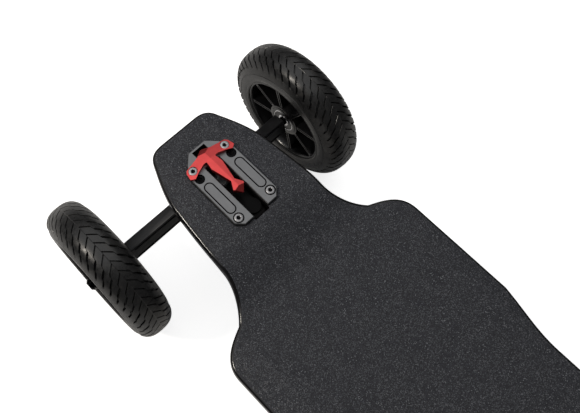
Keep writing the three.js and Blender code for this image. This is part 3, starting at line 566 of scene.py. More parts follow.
GRIP = grip_finish()
LACQUER = lacquer_finish()
RUBBER = rubber_finish()
PLASTIC = moulded_finish("moulded_plastic", (0.0035, 0.0035, 0.004), 0.22, 0.45)
SOCKET_DARK = moulded_finish("socket_plastic", (0.008, 0.008, 0.009), 0.35, 0.3)
GREY = anodised_finish("grey_anodised", (0.17, 0.172, 0.177), 0.42)
# Painted shade: near-black anodised colour for the plate's cut faces and the screws' sockets, where shade
# falls in holes, recesses, grooves and sockets.
RECESS_SHADE_GREY = anodised_finish("recess_shade_anodised", (0.006, 0.006, 0.0065), 0.5)
RED = anodised_finish("red_anodised", (0.58, 0.07, 0.07), 0.38)
SATIN = anodised_finish("black_anodised", (0.022, 0.022, 0.023), 0.38)
BLACK = coated_finish("black_coat", (0.008, 0.008, 0.009), 0.42, 0.45)
# Painted shade: the truck base lies in shade in the deck's slot, so it gets a darker black than the hanger's
# and almost no sheen.
SHADED_BASE_COAT = coated_finish("base_coat_painted_shade", (0.002, 0.002, 0.0022), 0.4, 0.05)
SILVER = turned_finish("satin_steel", (0.42, 0.42, 0.43), 0.5)
DULL = turned_finish("dull_steel", (0.34, 0.34, 0.35), 0.45)
CHROME = turned_finish("bright_steel", (0.8, 0.8, 0.82), 0.13)
OXIDE = turned_finish("black_oxide", (0.005, 0.005, 0.0055), 0.15)
MOTOR = turned_finish("motor_coat", (0.03, 0.03, 0.033), 0.36)
URETHANE = urethane_finish()
WRAP = wrap_finish()
BELT = belt_finish()


# Deck: the same outline as the model's, with smooth curves
TIP_WIDTH_SHARE = 0.183
OUTLINE_CURVE_SHARES = [
    (1, 0.283, 0.99, 0.329, 0.972, 0.355),
    (0.941, 0.415, 0.907, 0.475, 0.871, 0.492),
    (0.822, 0.515, 0.772, 0.536, 0.727, 0.542),
    (0.693, 0.554, 0.661, 0.646, 0.642, 0.729),
    (0.626, 0.892, 0.61, 1, 0.572, 1),
]
WAIST_CURVE_SHARES = (0.307, 0.967, 0.267, 0.904, 0.218, 0.904)
EDGE_END_SHARE, EDGE_POINTS = 0.356, 6
CURVE_STEPS = 14
BEND_FROM_BOLTS, BEND_LENGTH, BEND_STEPS = 9, 67, 20
NOSE_RISE = 18
DECK_EDGE, DECK_EDGE_STEPS, FOOT_EDGE, HOLE_EDGE_SHARE = 3.0, 6, 0.9, 0.3
GRIP_INSET, GRIP_THICKNESS, GRIP_EDGE = 3.2, 0.95, 0.3
SLOT_REAR, SLOT_FRONT, SLOT_HALF = -11.5, 80, 9
BOLT_LATERAL, CAP_AT, TEE_AT = 20.65, 53.98, 63.5
HOLE_GAP = 0.2
PLATE_HALF = [(82, 10.7), (72, 20.7), (57, 27.5), (-2, 27.5), (-9, 20.5)]


def curve_points(start, curve, scale):
    ends = [np.array(start, float)]
    ends += [np.array(curve[i:i + 2]) * scale for i in (0, 2, 4)]
    for step in range(1, CURVE_STEPS + 1):
        t = step / CURVE_STEPS
        shares = ((1 - t) ** 3, 3 * t * (1 - t) ** 2, 3 * t * t * (1 - t), t ** 3)
        yield sum(share * point for share, point in zip(shares, ends))


def deck_loop():
    scale = np.array([DECK_HALF, DECK_HALF_WIDTH])
    quarter = [np.array([DECK_HALF, TIP_WIDTH_SHARE * DECK_HALF_WIDTH])]
    for curve in OUTLINE_CURVE_SHARES:
        quarter += list(curve_points(quarter[-1], curve, scale))
    for share in np.linspace(OUTLINE_CURVE_SHARES[-1][4], EDGE_END_SHARE, EDGE_POINTS)[1:]:
        quarter.append(np.array([share, 1]) * scale)
    quarter += list(curve_points(quarter[-1], WAIST_CURVE_SHARES, scale))
    return mirrored(quarter + [np.array([-x, y]) for x, y in reversed(quarter)])


def deck_rise(x):
    """How far the deck lies over its platform, which grows smoothly along the bend to the nose."""
    start = BOLTS_X - BEND_FROM_BOLTS
    share = np.clip((np.abs(x) - start + BEND_LENGTH) / BEND_LENGTH, 0, 1)
    return NOSE_RISE * share * share * (3 - 2 * share)


def bend(obj):
    """Cuts a flat sheet across its bends and lifts its ends."""
    bm = bmesh.new()
    bm.from_mesh(obj.data)
    for sign in ENDS.values():
        for step in range(BEND_STEPS + 1):
            x = sign * (BOLTS_X - BEND_FROM_BOLTS - BEND_LENGTH * step / BEND_STEPS)
            bmesh.ops.bisect_plane(bm, geom=bm.verts[:] + bm.edges[:] + bm.faces[:],
                                   plane_co=(x * MM, 0, 0), plane_no=(1, 0, 0), dist=MERGED / 10)
    for vertex in bm.verts:
        vertex.co.z += deck_rise(vertex.co.x / MM) * MM
    bm.to_mesh(obj.data)
    bm.free()


def screw_places():
    return [(x, y) for x in (0, CAP_AT, TEE_AT) for y in (BOLT_LATERAL, -BOLT_LATERAL)]


def both_ends(loops):
    """Loops in a truck's own places, put at the nose and at the tail."""
    return [[(sign * (x + BOLTS_X), sign * y) for x, y in loop] for sign in ENDS.values() for loop in loops]


def make_deck():
    slot = rectangle(SLOT_REAR, SLOT_FRONT, SLOT_HALF)[::-1]
    holes = [round_hole(SHANK + HOLE_GAP, x, y) for x, y in screw_places()]
    wood = build("deck_board", slab([deck_loop()] + both_ends([slot] + holes), DECK_LOW,
                                    DECK_TOP - NOSE_RISE, DECK_EDGE, DECK_EDGE_STEPS, FOOT_EDGE,
                                    HOLE_EDGE_SHARE), LACQUER)
    bend(wood)
    put(wood, at(), "root", "deck", "deck", angle=40)


def make_grip():
    """Grip tape, cut out round the plate and over the slot behind it."""
    rim = [tuple(point) for point in inset_loop(mirrored(PLATE_HALF), -GAP)[:len(PLATE_HALF)]]
    rim += [(rim[-1][0], SLOT_HALF), (SLOT_REAR, SLOT_HALF)]
    loops = [inset_loop(deck_loop(), GRIP_INSET)] + both_ends([mirrored(rim)[::-1]])
    top = GRIP_TOP - NOSE_RISE
    sheet = build("grip_sheet", slab(loops, top - GRIP_THICKNESS, top, GRIP_EDGE, 2), GRIP)
    bend(sheet)
    put(sheet, at(), "root", "grip", "grip_tape", angle=40)


make_deck()
make_grip()


# Top plate and tee bridge
PLATE_CHAMFER, PLATE_FOOT, PLATE_SLOT_END = 0.7, 0.2, 59
WINDOW = (72, 79.5, 7.8)
RING_LENGTH, RING_RADIUS, RING_LINE, RING_DEPTH = 29.5, 5.4, 1.3, 1.0
RING_X, RING_Y = 26.5, 19.8
LEG_RECESS, SPOT_DEPTH, BUTTON_HEAD, BUTTON_HEIGHT = 5.4, 1.6, 4.3, 2.0
CAP_RECESS, CAP_DEPTH, CAP_HEAD, CAP_HEIGHT = 5.1, 3.6, 4.3, 3.2
TEE_LOW = rest_box("front_tee_bridge")[0][2]
TEE_RIDGE, TEE_EDGE, TEE_WALL, TEE_SEAT, TEE_EASE = 6.4, 2.3, 2, 0.8, 0.18
TEE_FRONT, TEE_REAR, TEE_HALF, TEE_BELOW, TEE_REACH = 75.4, 15.2, 28.4, -80, 40
TEE_PLAN = [
    (TEE_FRONT, 1), (71, 8.2), (68.2, 24.8), (65.5, 27), (58.4, TEE_HALF), (55.6, 24.1), (58.6, 17.4),
    (61, 9.6), (61, 7), (60.4, 5.5), (52, 6.9), (30, 2.1), (22, 6.8), (TEE_REAR, 0.4),
]
TEE_ROOF = [(TEE_HALF, TEE_BELOW), (TEE_HALF, TEE_EDGE), (0, TEE_RIDGE), (-TEE_HALF, TEE_EDGE),
            (-TEE_HALF, TEE_BELOW)]
TEE_SIDE = [(TEE_FRONT, 0), (TEE_FRONT, TEE_WALL), (67, TEE_RIDGE), (22, TEE_RIDGE),
            (TEE_REAR, TEE_WALL), (TEE_REAR, 0)]
PITCH_PLACE, PITCH = 61.3, radians(8)


def make_plate(end, sign):
    leg = [(PLATE_HALF[-1][0], SLOT_HALF), (PLATE_SLOT_END, SLOT_HALF)]
    blank = slab([mirrored(PLATE_HALF + leg)], PLATE_LOW, PLATE_TOP, PLATE_CHAMFER, 1, PLATE_FOOT)
    # The plate's cut faces take its second finish, near black: painted shade in its holes, recesses, window
    # and ring grooves.
    plate = build(f"{end}_fork_plate", blank, GREY, RECESS_SHADE_GREY)
    low, high = PLATE_LOW - PAST, PLATE_TOP + PAST
    tools = [slab([rectangle(*WINDOW)], low, high)]
    tools += [drill(at(x, y), SHANK + GAP, low, high, HOLE_SIDES) for x, y in screw_places()]
    for side in SIDES.values():
        tools.append(drill(at(0, side * BOLT_LATERAL), LEG_RECESS, PLATE_TOP - SPOT_DEPTH, high))
        tools.append(drill(at(CAP_AT, side * BOLT_LATERAL), CAP_RECESS, PLATE_TOP - CAP_DEPTH, high))
        outer, inner = (pill(RING_LENGTH, RING_RADIUS - line, RING_X, side * RING_Y)
                        for line in (0, RING_LINE))
        floor = PLATE_TOP - RING_DEPTH
        # The ring groove is coloured near black as well: painted shade.
        engraving = build("engraving", slab([outer], floor, high), RECESS_SHADE_GREY)
        cut(engraving, slab([inner], floor - PAST, high + PAST))
        combine(plate, "DIFFERENCE", engraving)
    cut(plate, *tools)
    put(plate, end_place(sign), "root", "anodised_grey", f"{end}_top_plate", angle=25)


def make_tee(end, sign):
    tee = build(f"{end}_tee_handle", slab([mirrored(TEE_PLAN)], 0, TEE_RIDGE), RED)
    roof = lengthwise(slab([TEE_ROOF], -TEE_FRONT, TEE_FRONT + PAST))
    pitched = at(PITCH_PLACE, 0, TEE_RIDGE) @ turn(PITCH, "Y") @ at(0, 0, -TEE_RIDGE)
    sides = side_slab([TEE_SIDE], -TEE_REACH, TEE_REACH)
    shape_with(tee, "INTERSECT", [roof, moved(roof, pitched), sides])
    for y in (BOLT_LATERAL, -BOLT_LATERAL):
        for radius, low in ((SHANK + GAP, -PAST), (BUTTON_HEAD + GAP, TEE_SEAT)):
            cut(tee, drill(at(TEE_AT, y), radius, low, TEE_RIDGE + PAST))
    soften(tee, TEE_EASE, 1, 9)
    place = end_place(sign) @ at(0, 0, TEE_LOW * MM)
    put(tee, place, "root", "anodised_red", f"{end}_tee_bridge", angle=4)


# Screws: round heads with a hexagon socket on a shank
SCREW_SIDES, SCREW_TURN = 48, 0.35
SCREW_KINDS = {
    "leg_screw": (0, BUTTON_HEAD, BUTTON_HEIGHT, PLATE_TOP - SPOT_DEPTH, 0.5, DULL, "bright_steel"),
    "cap_screw": (CAP_AT, CAP_HEAD, CAP_HEIGHT, PLATE_TOP - CAP_DEPTH, 0.2, OXIDE, "black_steel"),
    "tee_screw": (TEE_AT, BUTTON_HEAD, BUTTON_HEIGHT, TEE_LOW + TEE_SEAT, 0.5, SILVER, "bright_steel"),
}
SOCKET_HALF, SOCKET_DEPTH, SOCKET_LIP, MOUTH_SHARE = 1.9, 1.9, 0.25, 1.25
DRILL_RADIUS, DRILL_DEPTH = 0.3, 0.5
HEAD_EASE, SHOULDER, DOME_STEPS = 0.15, 0.1, 6
SOCKET_SHADE_SHARE, SOCKET_SHADE_DEPTH = 1.1, 4


def socket_rows(half, top, depth, lip):
    """The end of a head's profile: a hexagon socket with the point of its drill."""
    floor = top - depth
    return [(half, top - lip, HEXAGON), (half, floor, HEXAGON), (DRILL_RADIUS, floor - DRILL_DEPTH),
            (0, floor - DRILL_DEPTH)]


def screw_shape(head, height, seat, low, dome):
    top = seat + height
    shoulder = top - dome
    profile = [(0, low), (SHANK, low), (SHANK, seat), (head - HEAD_EASE, seat), (head, seat + HEAD_EASE),
               (head, shoulder - SHOULDER)]
    mouth = SOCKET_HALF * MOUTH_SHARE
    for t in np.linspace(0, QUARTER, DOME_STEPS + 1)[1:]:
        profile.append((mouth + (head - mouth) * cos(t), shoulder + dome * sin(t)))
    return lathe(profile + socket_rows(SOCKET_HALF, top, SOCKET_DEPTH, SOCKET_LIP), SCREW_SIDES)


def make_screws(end, sign):
    low = rest_box(f"{end}_leg_screw_left")[0][2]
    for kind, (x, head, height, seat, dome, finish, slot) in SCREW_KINDS.items():
        for side in SIDES.values():
            node = f"{end}_{kind}_{'left' if side * sign > 0 else 'right'}"
            shape = screw_shape(head, height, seat + GAP / 2, low, dome)
            obj = build(f"{node}_bolt", moved(shape, turn(SCREW_TURN * side + x, "Z")), finish)
            top = shape[0][:, 2].max()
            # Painted shade: the socket and the faces close round it are coloured near black.
            tint(obj, RECESS_SHADE_GREY, lambda p: hypot(p.x, p.y) < SOCKET_HALF * SOCKET_SHADE_SHARE
                 and p.z > top - SOCKET_SHADE_DEPTH)
            place = end_place(sign) @ at(x * MM, side * BOLT_LATERAL * MM)
            put(obj, place, "root", slot, node)


for end, sign in ENDS.items():
    make_plate(end, sign)
    make_tee(end, sign)
    make_screws(end, sign)


# Tyres: rows of grooves in chevrons, each with a jog half way out
TYRE_HALF, TYRE_DEEP, SECTION_POWER, SECTION_STEP = 23.2, 29.3, 0.74, 0.004
TREAD_TURN, SIDE_LIMIT = radians(54), radians(88)
CHEVRONS, TREAD_ROWS, RUN_STEPS = 45, 24, 300
ARM_LAG, SIDE_OFFSET = 25.0, 3.0
JOG_SHARES = [(0.0, 0.0), (0.36, 0.3), (0.4, 0.47), (0.7, 0.7), (0.73, 0.79), (1.0, 1.0)]
GROOVE_SHARES = [(0.0, 0.45), (0.38, 0.5), (0.46, 0.95), (1.0, 1.0)]
GROOVE_WIDTH, GROOVE_DEPTH, GROOVE_EDGE, GROOVE_FLOOR, EDGE_SUNK = 2.7, 3.0, 0.35, 2.6, 0.12
GROOVE_START, GROOVE_FADE, GROOVE_END = 0.01, 0.03, 0.35
CLOSE_SHARES = (GROOVE_START, 0.025, 0.985)
ROW_SHARES, BLOCK_SHARES = (0.04, 0.96), (0.42, 0.6)
SEAM_HEIGHT, STEP_DOWN = 0.2, 0.9
# Each row of the side: share of the tread's angle, drop and how deep the grooves still are
SIDE_ROWS = [
    (1.004, STEP_DOWN, 0.3), (1.06, STEP_DOWN, 0.12), (1.1, STEP_DOWN, 0), (1.2, 0.5, 0), (1.32, 0.3, 0),
    (1.33, 0.75, 0), (1.37, 0.75, 0), (1.38, 0.3, 0), (1.5, 0.35, 0), (1.6, 0.6, 0), (1.63, 1.1, 0),
]
# Each row at the bead: how far out of it and how far past the hub's face
BEAD_ROWS = [(3.2, 1.6), (1.4, 1.9), (0, 0.9), (0, -4)]


def section_point(angle, drop=0.0):
    """Radius, place across and outward direction of the tyre's section at an angle off its crown."""
    def place(t):
        c, s = cos(t), sin(t)
        r = CROWN - SEAM_HEIGHT - TYRE_DEEP + TYRE_DEEP * abs(c) ** SECTION_POWER
        return np.array([r, TYRE_HALF * copysign(abs(s) ** SECTION_POWER, s)])
    along = unit(place(angle + SECTION_STEP) - place(angle - SECTION_STEP))
    out = np.array([along[1], -along[0]])
    return place(angle) - drop * out, out


def tread_run():
    """Angles off the crown, and how far over the tread each lies as a share of its arc."""
    angles = np.linspace(0, TREAD_TURN, RUN_STEPS)
    places = np.array([section_point(angle)[0] for angle in angles])
    run = np.concatenate([[0], np.cumsum(np.linalg.norm(np.diff(places, axis=0), axis=1))])
    return angles, run / run[-1]


def tyre_rows():
    """Rows from crown to bead: radius and place, outward direction, share and groove depth."""
    outward = np.array([1.0, 0.0])
    angles, runs = tread_run()
    rows = []
    shares = {*np.linspace(*ROW_SHARES, TREAD_ROWS), *(share for share, _ in JOG_SHARES), *CLOSE_SHARES}
    for share in sorted(shares):
        place, out = section_point(np.interp(share, runs, angles))
        if share == 0:
            place = place + SEAM_HEIGHT * outward
        depth = min(1, max(0, share - GROOVE_START) / GROOVE_FADE, GROOVE_END + (1 - share) / GROOVE_FADE)
        rows.append((place, out, share, depth))
    for turn_share, drop, depth in SIDE_ROWS:
        rows.append((*section_point(min(TREAD_TURN * turn_share, SIDE_LIMIT), drop), 1.0, depth))
    for rise, past in BEAD_ROWS:
        rows.append((np.array([BEAD + rise, HUB_HALF + past]), outward, 1.0, 0))
    return rows


def tyre_shape():
    """The rows of one side, their mirror images, and a ring of stations along each."""
    left = [(*row, 1) for row in tyre_rows()]
    left[0] = (*left[0][:4], 0)
    flip = np.array([1, -1])
    right = [(place * flip, out * flip, share, depth, -1) for place, out, share, depth, _ in left[:0:-1]]
    pitch = FULL / CHEVRONS
    shares, lags = zip(*JOG_SHARES)
    points = []
    for place, out, share, depth, side in right + left:
        lag = (ARM_LAG * np.interp(share, shares, lags) + side * SIDE_OFFSET / 2) / CROWN
        width = GROOVE_WIDTH * np.interp(share, *zip(*GROOVE_SHARES)) / CROWN
        wall = [(-width / 2 - GROOVE_EDGE / CROWN, 0), (-width / 2, EDGE_SUNK), (-width / GROOVE_FLOOR, 1)]
        stations = wall + [(-offset, sunk) for offset, sunk in reversed(wall)]
        stations += [(pitch * block, 0) for block in BLOCK_SHARES]
        for chevron in range(CHEVRONS):
            for offset, sunk in stations:
                angle = chevron * pitch + offset - lag
                r, y = place - out * (GROOVE_DEPTH * depth * sunk)
                points.append((r * sin(angle), y, r * cos(angle)))
    return np.array(points), ring_faces(len(right + left), CHEVRONS * len(stations), True)


def make_tyres():
    shape = tyre_shape()
    for name, _, _ in wheels():
        node = f"{name}_tyre"
        obj = build(f"{node}_tread", shape, RUBBER)
        put(obj, at(*(middle(node) * MM)), f"{name}_wheel", "tyre_rubber", node, angle=28)


make_tyres()


# Hubs: a dish with ribs towards the board, and a shallow one outwards
BORE = 14.05
BOSS, BOSS_INNER, BOSS_OUTER = 20.0, 19.0, 17.0
BOSS_STEP, BOSS_EASE = 0.7, 0.6
BARREL = BEAD - 3.2
LIP, DISH_LIP = 2.6, 2.2
WEB_LOW, WEB_HIGH = 6.0, 11.0
HUB_PROFILE = [
    (BORE, -BOSS_INNER), (BOSS - 2.6, -BOSS_INNER), (BOSS - 2.2, -BOSS_INNER + BOSS_STEP),
    (BOSS, -BOSS_INNER + BOSS_STEP), (BOSS, WEB_LOW), (BARREL, WEB_LOW), (BARREL, -HUB_HALF + LIP),
    (BARREL + 1.2, -HUB_HALF), (BEAD, -HUB_HALF), (BEAD, HUB_HALF), (BARREL + 1.0, HUB_HALF),
    (BARREL, HUB_HALF - DISH_LIP), (BARREL - 0.4, HUB_HALF - 5), (BOSS, WEB_HIGH),
    (BOSS, BOSS_OUTER - BOSS_EASE), (BOSS - BOSS_EASE, BOSS_OUTER), (BORE, BOSS_OUTER),
]
RIBS, RIB_PHASE, RIB_HALF, OUTER_RIB_HALF, CHANNEL_HALF = 8, 0.6, 2.0, 1.3, 0.9
RIB = [(BOSS - SUNK, -BOSS_INNER + 1.5), (BARREL + SUNK, -HUB_HALF + 2.2), (BARREL + SUNK, WEB_LOW + SUNK),
       (BOSS - SUNK, WEB_LOW + SUNK)]
OUTER_RIB = [(BOSS - SUNK, WEB_HIGH - SUNK), (BARREL + 0.6, HUB_HALF - 6), (BARREL + 0.6, HUB_HALF - 2.6),
             (BOSS - SUNK, BOSS_OUTER - 1.5)]
CHANNEL = [(BOSS + 2, -BOSS_INNER - 1), (BARREL - 2, -HUB_HALF - 1), (BARREL - 2, -HUB_HALF + 3.3),
           (BOSS + 2, -BOSS_INNER + 2.7)]
HUB_EASE, HUB_ANGLE, HUB_SIDES = 0.35, 40, 128


def make_hubs():
    hub = build("hub_model", moved(lathe(HUB_PROFILE, HUB_SIDES), turn(-QUARTER, "X")), PLASTIC)
    spins = around(RIBS, RIB_PHASE * FULL / RIBS, "Y")
    for spin in spins:
        join(hub, moved(slab([RIB], -RIB_HALF, RIB_HALF), spin),
             moved(slab([OUTER_RIB], -OUTER_RIB_HALF, OUTER_RIB_HALF), spin))
    for spin in spins:
        cut(hub, moved(slab([CHANNEL], -CHANNEL_HALF, CHANNEL_HALF), spin))
    soften(hub, HUB_EASE)
    shade(hub, HUB_ANGLE)
    mesh = hub.data
    bpy.data.objects.remove(hub)
    for name, place, sign in wheels():
        obj = bpy.data.objects.new(f"{name}_hub_wheel", mesh)
        scene.collection.objects.link(obj)
        obj.matrix_world = place @ half_turn(sign)
        dress(obj, f"{name}_wheel", "hub_plastic", f"{name}_hub")


make_hubs()


# Places on a truck: the steering axis through the pivot, and the kingpin through the ring
ALONG, UPWARD = np.array([1, 0, 1]) / sqrt(2), np.array([-1, 0, 1]) / sqrt(2)
STEER_OVER_AXLE, RING_FROM_FOOT, PIVOT_FROM_FOOT = 13.3, 22.8, 19.2
STEER_FOOT = np.array([AXLE_FROM_BOLTS, 0, CROWN]) + STEER_OVER_AXLE * UPWARD
RING_PLACE, PIVOT_PLACE = STEER_FOOT + RING_FROM_FOOT * ALONG, STEER_FOOT - PIVOT_FROM_FOOT * ALONG
ON_STEER = at(*PIVOT_PLACE) @ turn(QUARTER / 2, "Y")
ON_KINGPIN = at(*RING_PLACE) @ turn(-QUARTER / 2, "Y")
LIE = turn(-QUARTER, "X")
ON_AXLE = at(AXLE_FROM_BOLTS, 0, CROWN)
BAR_TILT = radians(16)
ON_BAR = ON_AXLE @ turn(BAR_TILT, "Y")


def steer_points(origin, places):
    """Points in the side view from places along and above the steering axis."""
    points = [origin + along * ALONG + up * UPWARD for along, up in places]
    return [(point[0], point[2]) for point in points]


# Truck base: a flange with an arm that carries the pivot housing and the kingpin's boss
FLANGE_TOP = DECK_LOW + NOSE_RISE - GAP
FLANGE_LOW = FLANGE_TOP - 7.5
FLANGE_REAR, FLANGE_FRONT, FLANGE_HALF, FLANGE_CORNER = -9, 76, 27, 5
FLANGE_EDGE, FLANGE_FOOT_EDGE = 0.3, 1.4
SEAT, HEAD_SEAT = 18.0, 40.0
ARM_HALF, ARM_EDGE, ARM_OVER, ARM_REAR, UNDER_REAR, UNDER_GAP = 11, 1.5, 6, 2, -60, 0.05
PIVOT_ARM = [(-11, 12), (-11, 0), (-9, 0), (3, 12)]
KINGPIN_ARM = [(-25, HEAD_SEAT), (-12.5, SEAT), (12.5, SEAT)]
WEB_HALF, WEB_EDGE, WEB_FRONT, WEB_REAR = 1.5, 1, 46, 6
HOUSING_PROFILE = [(0, -11), (10, -11), (12, -9), (12, 2), (11, 3), (0, 3)]
BOSS_PROFILE = [(0, SEAT), (11.7, SEAT), (12.5, SEAT + 0.8), (12.5, HEAD_SEAT), (0, HEAD_SEAT)]
SPINE_REAR, SPINE_FRONT, SPINE_HALF, SPINE_CORNER, SPINE_OVER, SPINE_EDGE = -10, 30, 7.5, 3, 7, 1
KNOB_X, KNOB_RADIUS, KNOB_OVER = 2, 8, 10
KINGPIN_HOLE, HEAD_HOLE, HEAD_HOLE_END, CUP_HOLE, CUP_LOW, CUP_HIGH = 5.3, 7.8, 62, 9.3, -8, 9
BASE_EASE = 0.6


def make_base(end, sign):
    flange = rounded((FLANGE_REAR, -FLANGE_HALF), (FLANGE_FRONT, FLANGE_HALF), FLANGE_CORNER)
    # The base takes the darker black with little sheen: painted shade for the slot it lies in.
    base = build(f"{end}_base_casting", slab([flange], FLANGE_LOW, FLANGE_TOP, FLANGE_EDGE, 1,
                                             FLANGE_FOOT_EDGE), SHADED_BASE_COAT)
    pivot_arm = steer_points(PIVOT_PLACE, PIVOT_ARM)
    arm = [(ARM_REAR, FLANGE_TOP + ARM_OVER), *pivot_arm, *steer_points(RING_PLACE, KINGPIN_ARM),
           (FLANGE_FRONT, FLANGE_TOP + ARM_OVER)]
    casting = build("casting", side_slab([arm], -ARM_HALF, ARM_HALF, ARM_EDGE, 3), SHADED_BASE_COAT)
    join(casting, moved(lathe(HOUSING_PROFILE), ON_STEER), moved(lathe(BOSS_PROFILE), ON_KINGPIN))
    web = [pivot_arm[0], pivot_arm[3], (WEB_FRONT, FLANGE_LOW + SUNK), (WEB_REAR, FLANGE_LOW + SUNK)]
    for y in (-ARM_HALF, ARM_HALF):
        join(casting, side_slab([web], y - WEB_HALF, y + WEB_HALF, WEB_EDGE, 3))
    under = rounded((UNDER_REAR, -FLANGE_HALF), (FLANGE_FRONT, FLANGE_HALF), 1)
    shape_with(casting, "INTERSECT", [slab([under], 0, FLANGE_TOP - UNDER_GAP)])
    combine(base, "UNION", casting)
    spine = rounded((SPINE_REAR, -SPINE_HALF), (SPINE_FRONT, SPINE_HALF), SPINE_CORNER)
    low = FLANGE_LOW + SUNK
    join(base, slab([spine], low, FLANGE_TOP + SPINE_OVER, SPINE_EDGE, 3),
         drill(at(KNOB_X), KNOB_RADIUS, low, FLANGE_TOP + KNOB_OVER))
    cuts = [drill(ON_KINGPIN, KINGPIN_HOLE, 0, HEAD_SEAT + FAR_PAST),
            drill(ON_KINGPIN, HEAD_HOLE, HEAD_SEAT, HEAD_HOLE_END),
            drill(ON_STEER, CUP_HOLE, CUP_LOW, CUP_HIGH)]
    low, high = FLANGE_LOW - FAR_PAST, FLANGE_TOP + PAST
    cuts += [drill(at(x, y), SHANK + GAP, low, high, 24) for x, y in screw_places()]
    cut(base, *cuts)
    soften(base, BASE_EASE)
    put(base, end_place(sign), "root", "black_metal", f"{end}_truck_base")


# Kingpin with its washer and nut, and the bushings round it
KINGPIN, NUT_BORE = 5, 4.9
KINGPIN_END, NUT_LOW, WASHER_LOW, WASHER_HIGH = -28.5, -28, -20, -18
KINGPIN_NUT, AXLE_NUT, NUT_EASE, NUT_CORNER = 7.36, 6.5, 0.8, 0.2
HEAD_LOW, HEAD_HIGH = HEAD_SEAT + GAP, HEAD_SEAT + GAP + 7
HEAD_SOCKET, HEAD_SOCKET_DEPTH, HEAD_LIP = 3.4, 3.5, 0.4
WASHER_PROFILE = [
    (NUT_BORE, WASHER_LOW), (11.2, WASHER_LOW), (11.5, WASHER_LOW + 0.3), (11.5, WASHER_HIGH - 0.3),
    (11.2, WASHER_HIGH), (NUT_BORE, WASHER_HIGH),
]
SHANK_PROFILE = [(0, KINGPIN_END), (4.6, KINGPIN_END), (KINGPIN, NUT_LOW), (KINGPIN, HEAD_LOW), (0, HEAD_LOW)]
HEAD_PROFILE = [
    (0, HEAD_LOW), (7.1, HEAD_LOW), (7.5, HEAD_LOW + 0.4), (7.5, HEAD_HIGH - 0.6), (7.25, HEAD_HIGH - 0.18),
    (6.7, HEAD_HIGH), (HEAD_SOCKET * 1.22, HEAD_HIGH),
    *socket_rows(HEAD_SOCKET, HEAD_HIGH, HEAD_SOCKET_DEPTH, HEAD_LIP),
]
BUSHING_PROFILE = [
    (5.4, 4.3), (11.0, 4.3), (11.8, 4.7), (12, 5.6), (12, 9), (11.6, 10.2), (10.6, 11.2), (10.2, 12.4),
    (10, 14), (10, 16.8), (9.6, 17.5), (8.8, 17.7), (5.4, 17.7),
]
BUSHING_SEATS = (SEAT - 0.2, 4.2)


def nut(half, low, high):
    """A hexagon nut about Z with eased corners and a hole through it."""
    return lathe([(NUT_BORE, low), (half - NUT_CORNER, low), (half, low + NUT_EASE, HEXAGON),
                  (half, high - NUT_EASE, HEXAGON), (half - NUT_CORNER, high), (NUT_BORE, high)], SCREW_SIDES)


def make_kingpin(end, sign):
    bolt = together(lathe(SHANK_PROFILE, ROD_SIDES), lathe(WASHER_PROFILE), lathe(HEAD_PROFILE, SCREW_SIDES),
                    nut(KINGPIN_NUT, NUT_LOW, WASHER_LOW))
    obj = build(f"{end}_kingpin_bolt", moved(bolt, ON_KINGPIN), SILVER)
    put(obj, end_place(sign), "root", "bright_steel", f"{end}_kingpin")


def make_bushings(end, sign):
    """Bushings round the kingpin, built in the frame's places, on both sides of the hanger's ring."""
    for kind, side in (("boardside", 1), ("roadside", -1)):
        shape = moved(lathe([(r, side * z) for r, z in BUSHING_PROFILE], RING_SIDES), ON_KINGPIN)
        in_frame = at(sign * BOLTS_X) @ half_turn(sign)
        obj = build(f"{end}_{kind}_cushion", moved(shape, in_frame), URETHANE)
        shade(obj, 35)
        seats = steer_points(RING_PLACE, [(0, side * seat) for seat in BUSHING_SEATS])
        ends = [(sign * (x + BOLTS_X) * MM, 0, z * MM) for x, z in seats]
        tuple(ends[0])
        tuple(ends[1])
        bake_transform(obj)
        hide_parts(f"{end}_{kind}_bushing")


# Hanger: a square bar with two grooves along each face, a yoke, a ring and the pivot's nose
BAR_HALF, BAR_DEPTH, BAR_REACH, BAR_CORNER, BAR_EDGE = 7.25, 9.5, 112, 1.6, 0.6
YOKE = [(-7.25, 3), (10.2, 0), (10.2, -13.3), (7.25, -22.8), (-9.5, -13.3)]
YOKE_HALF, YOKE_EDGE = 15, 3
NOSE_PROFILE = [(0, -4), (2.8, -3.4), (4.9, -1.6), (5.8, 0.6), (6, 3), (6, 29.4), (0, 29.4)]
RING_BORE = 7.2
RING_PROFILE = [(RING_BORE, -4), (17.2, -4), (18, -3.2), (18, 3.2), (17.2, 4), (RING_BORE, 4)]
BUSHING_ROOM, ROOM_SIDE, ROOM_LOW, ROOM_HIGH = 12.3, 21, -32, -4.3
AXLE_HOLE, GROOVE_LEVELS, GROOVE_RISE = 5.3, (4.9, -7.9), 3
GROOVE_FROM, GROOVE_TO, GROOVE_INNER, GROOVE_OUTER, GROOVE_CORNER = -9.5, -4.65, 22, 104, 0.4
HANGER_EASE = 0.35


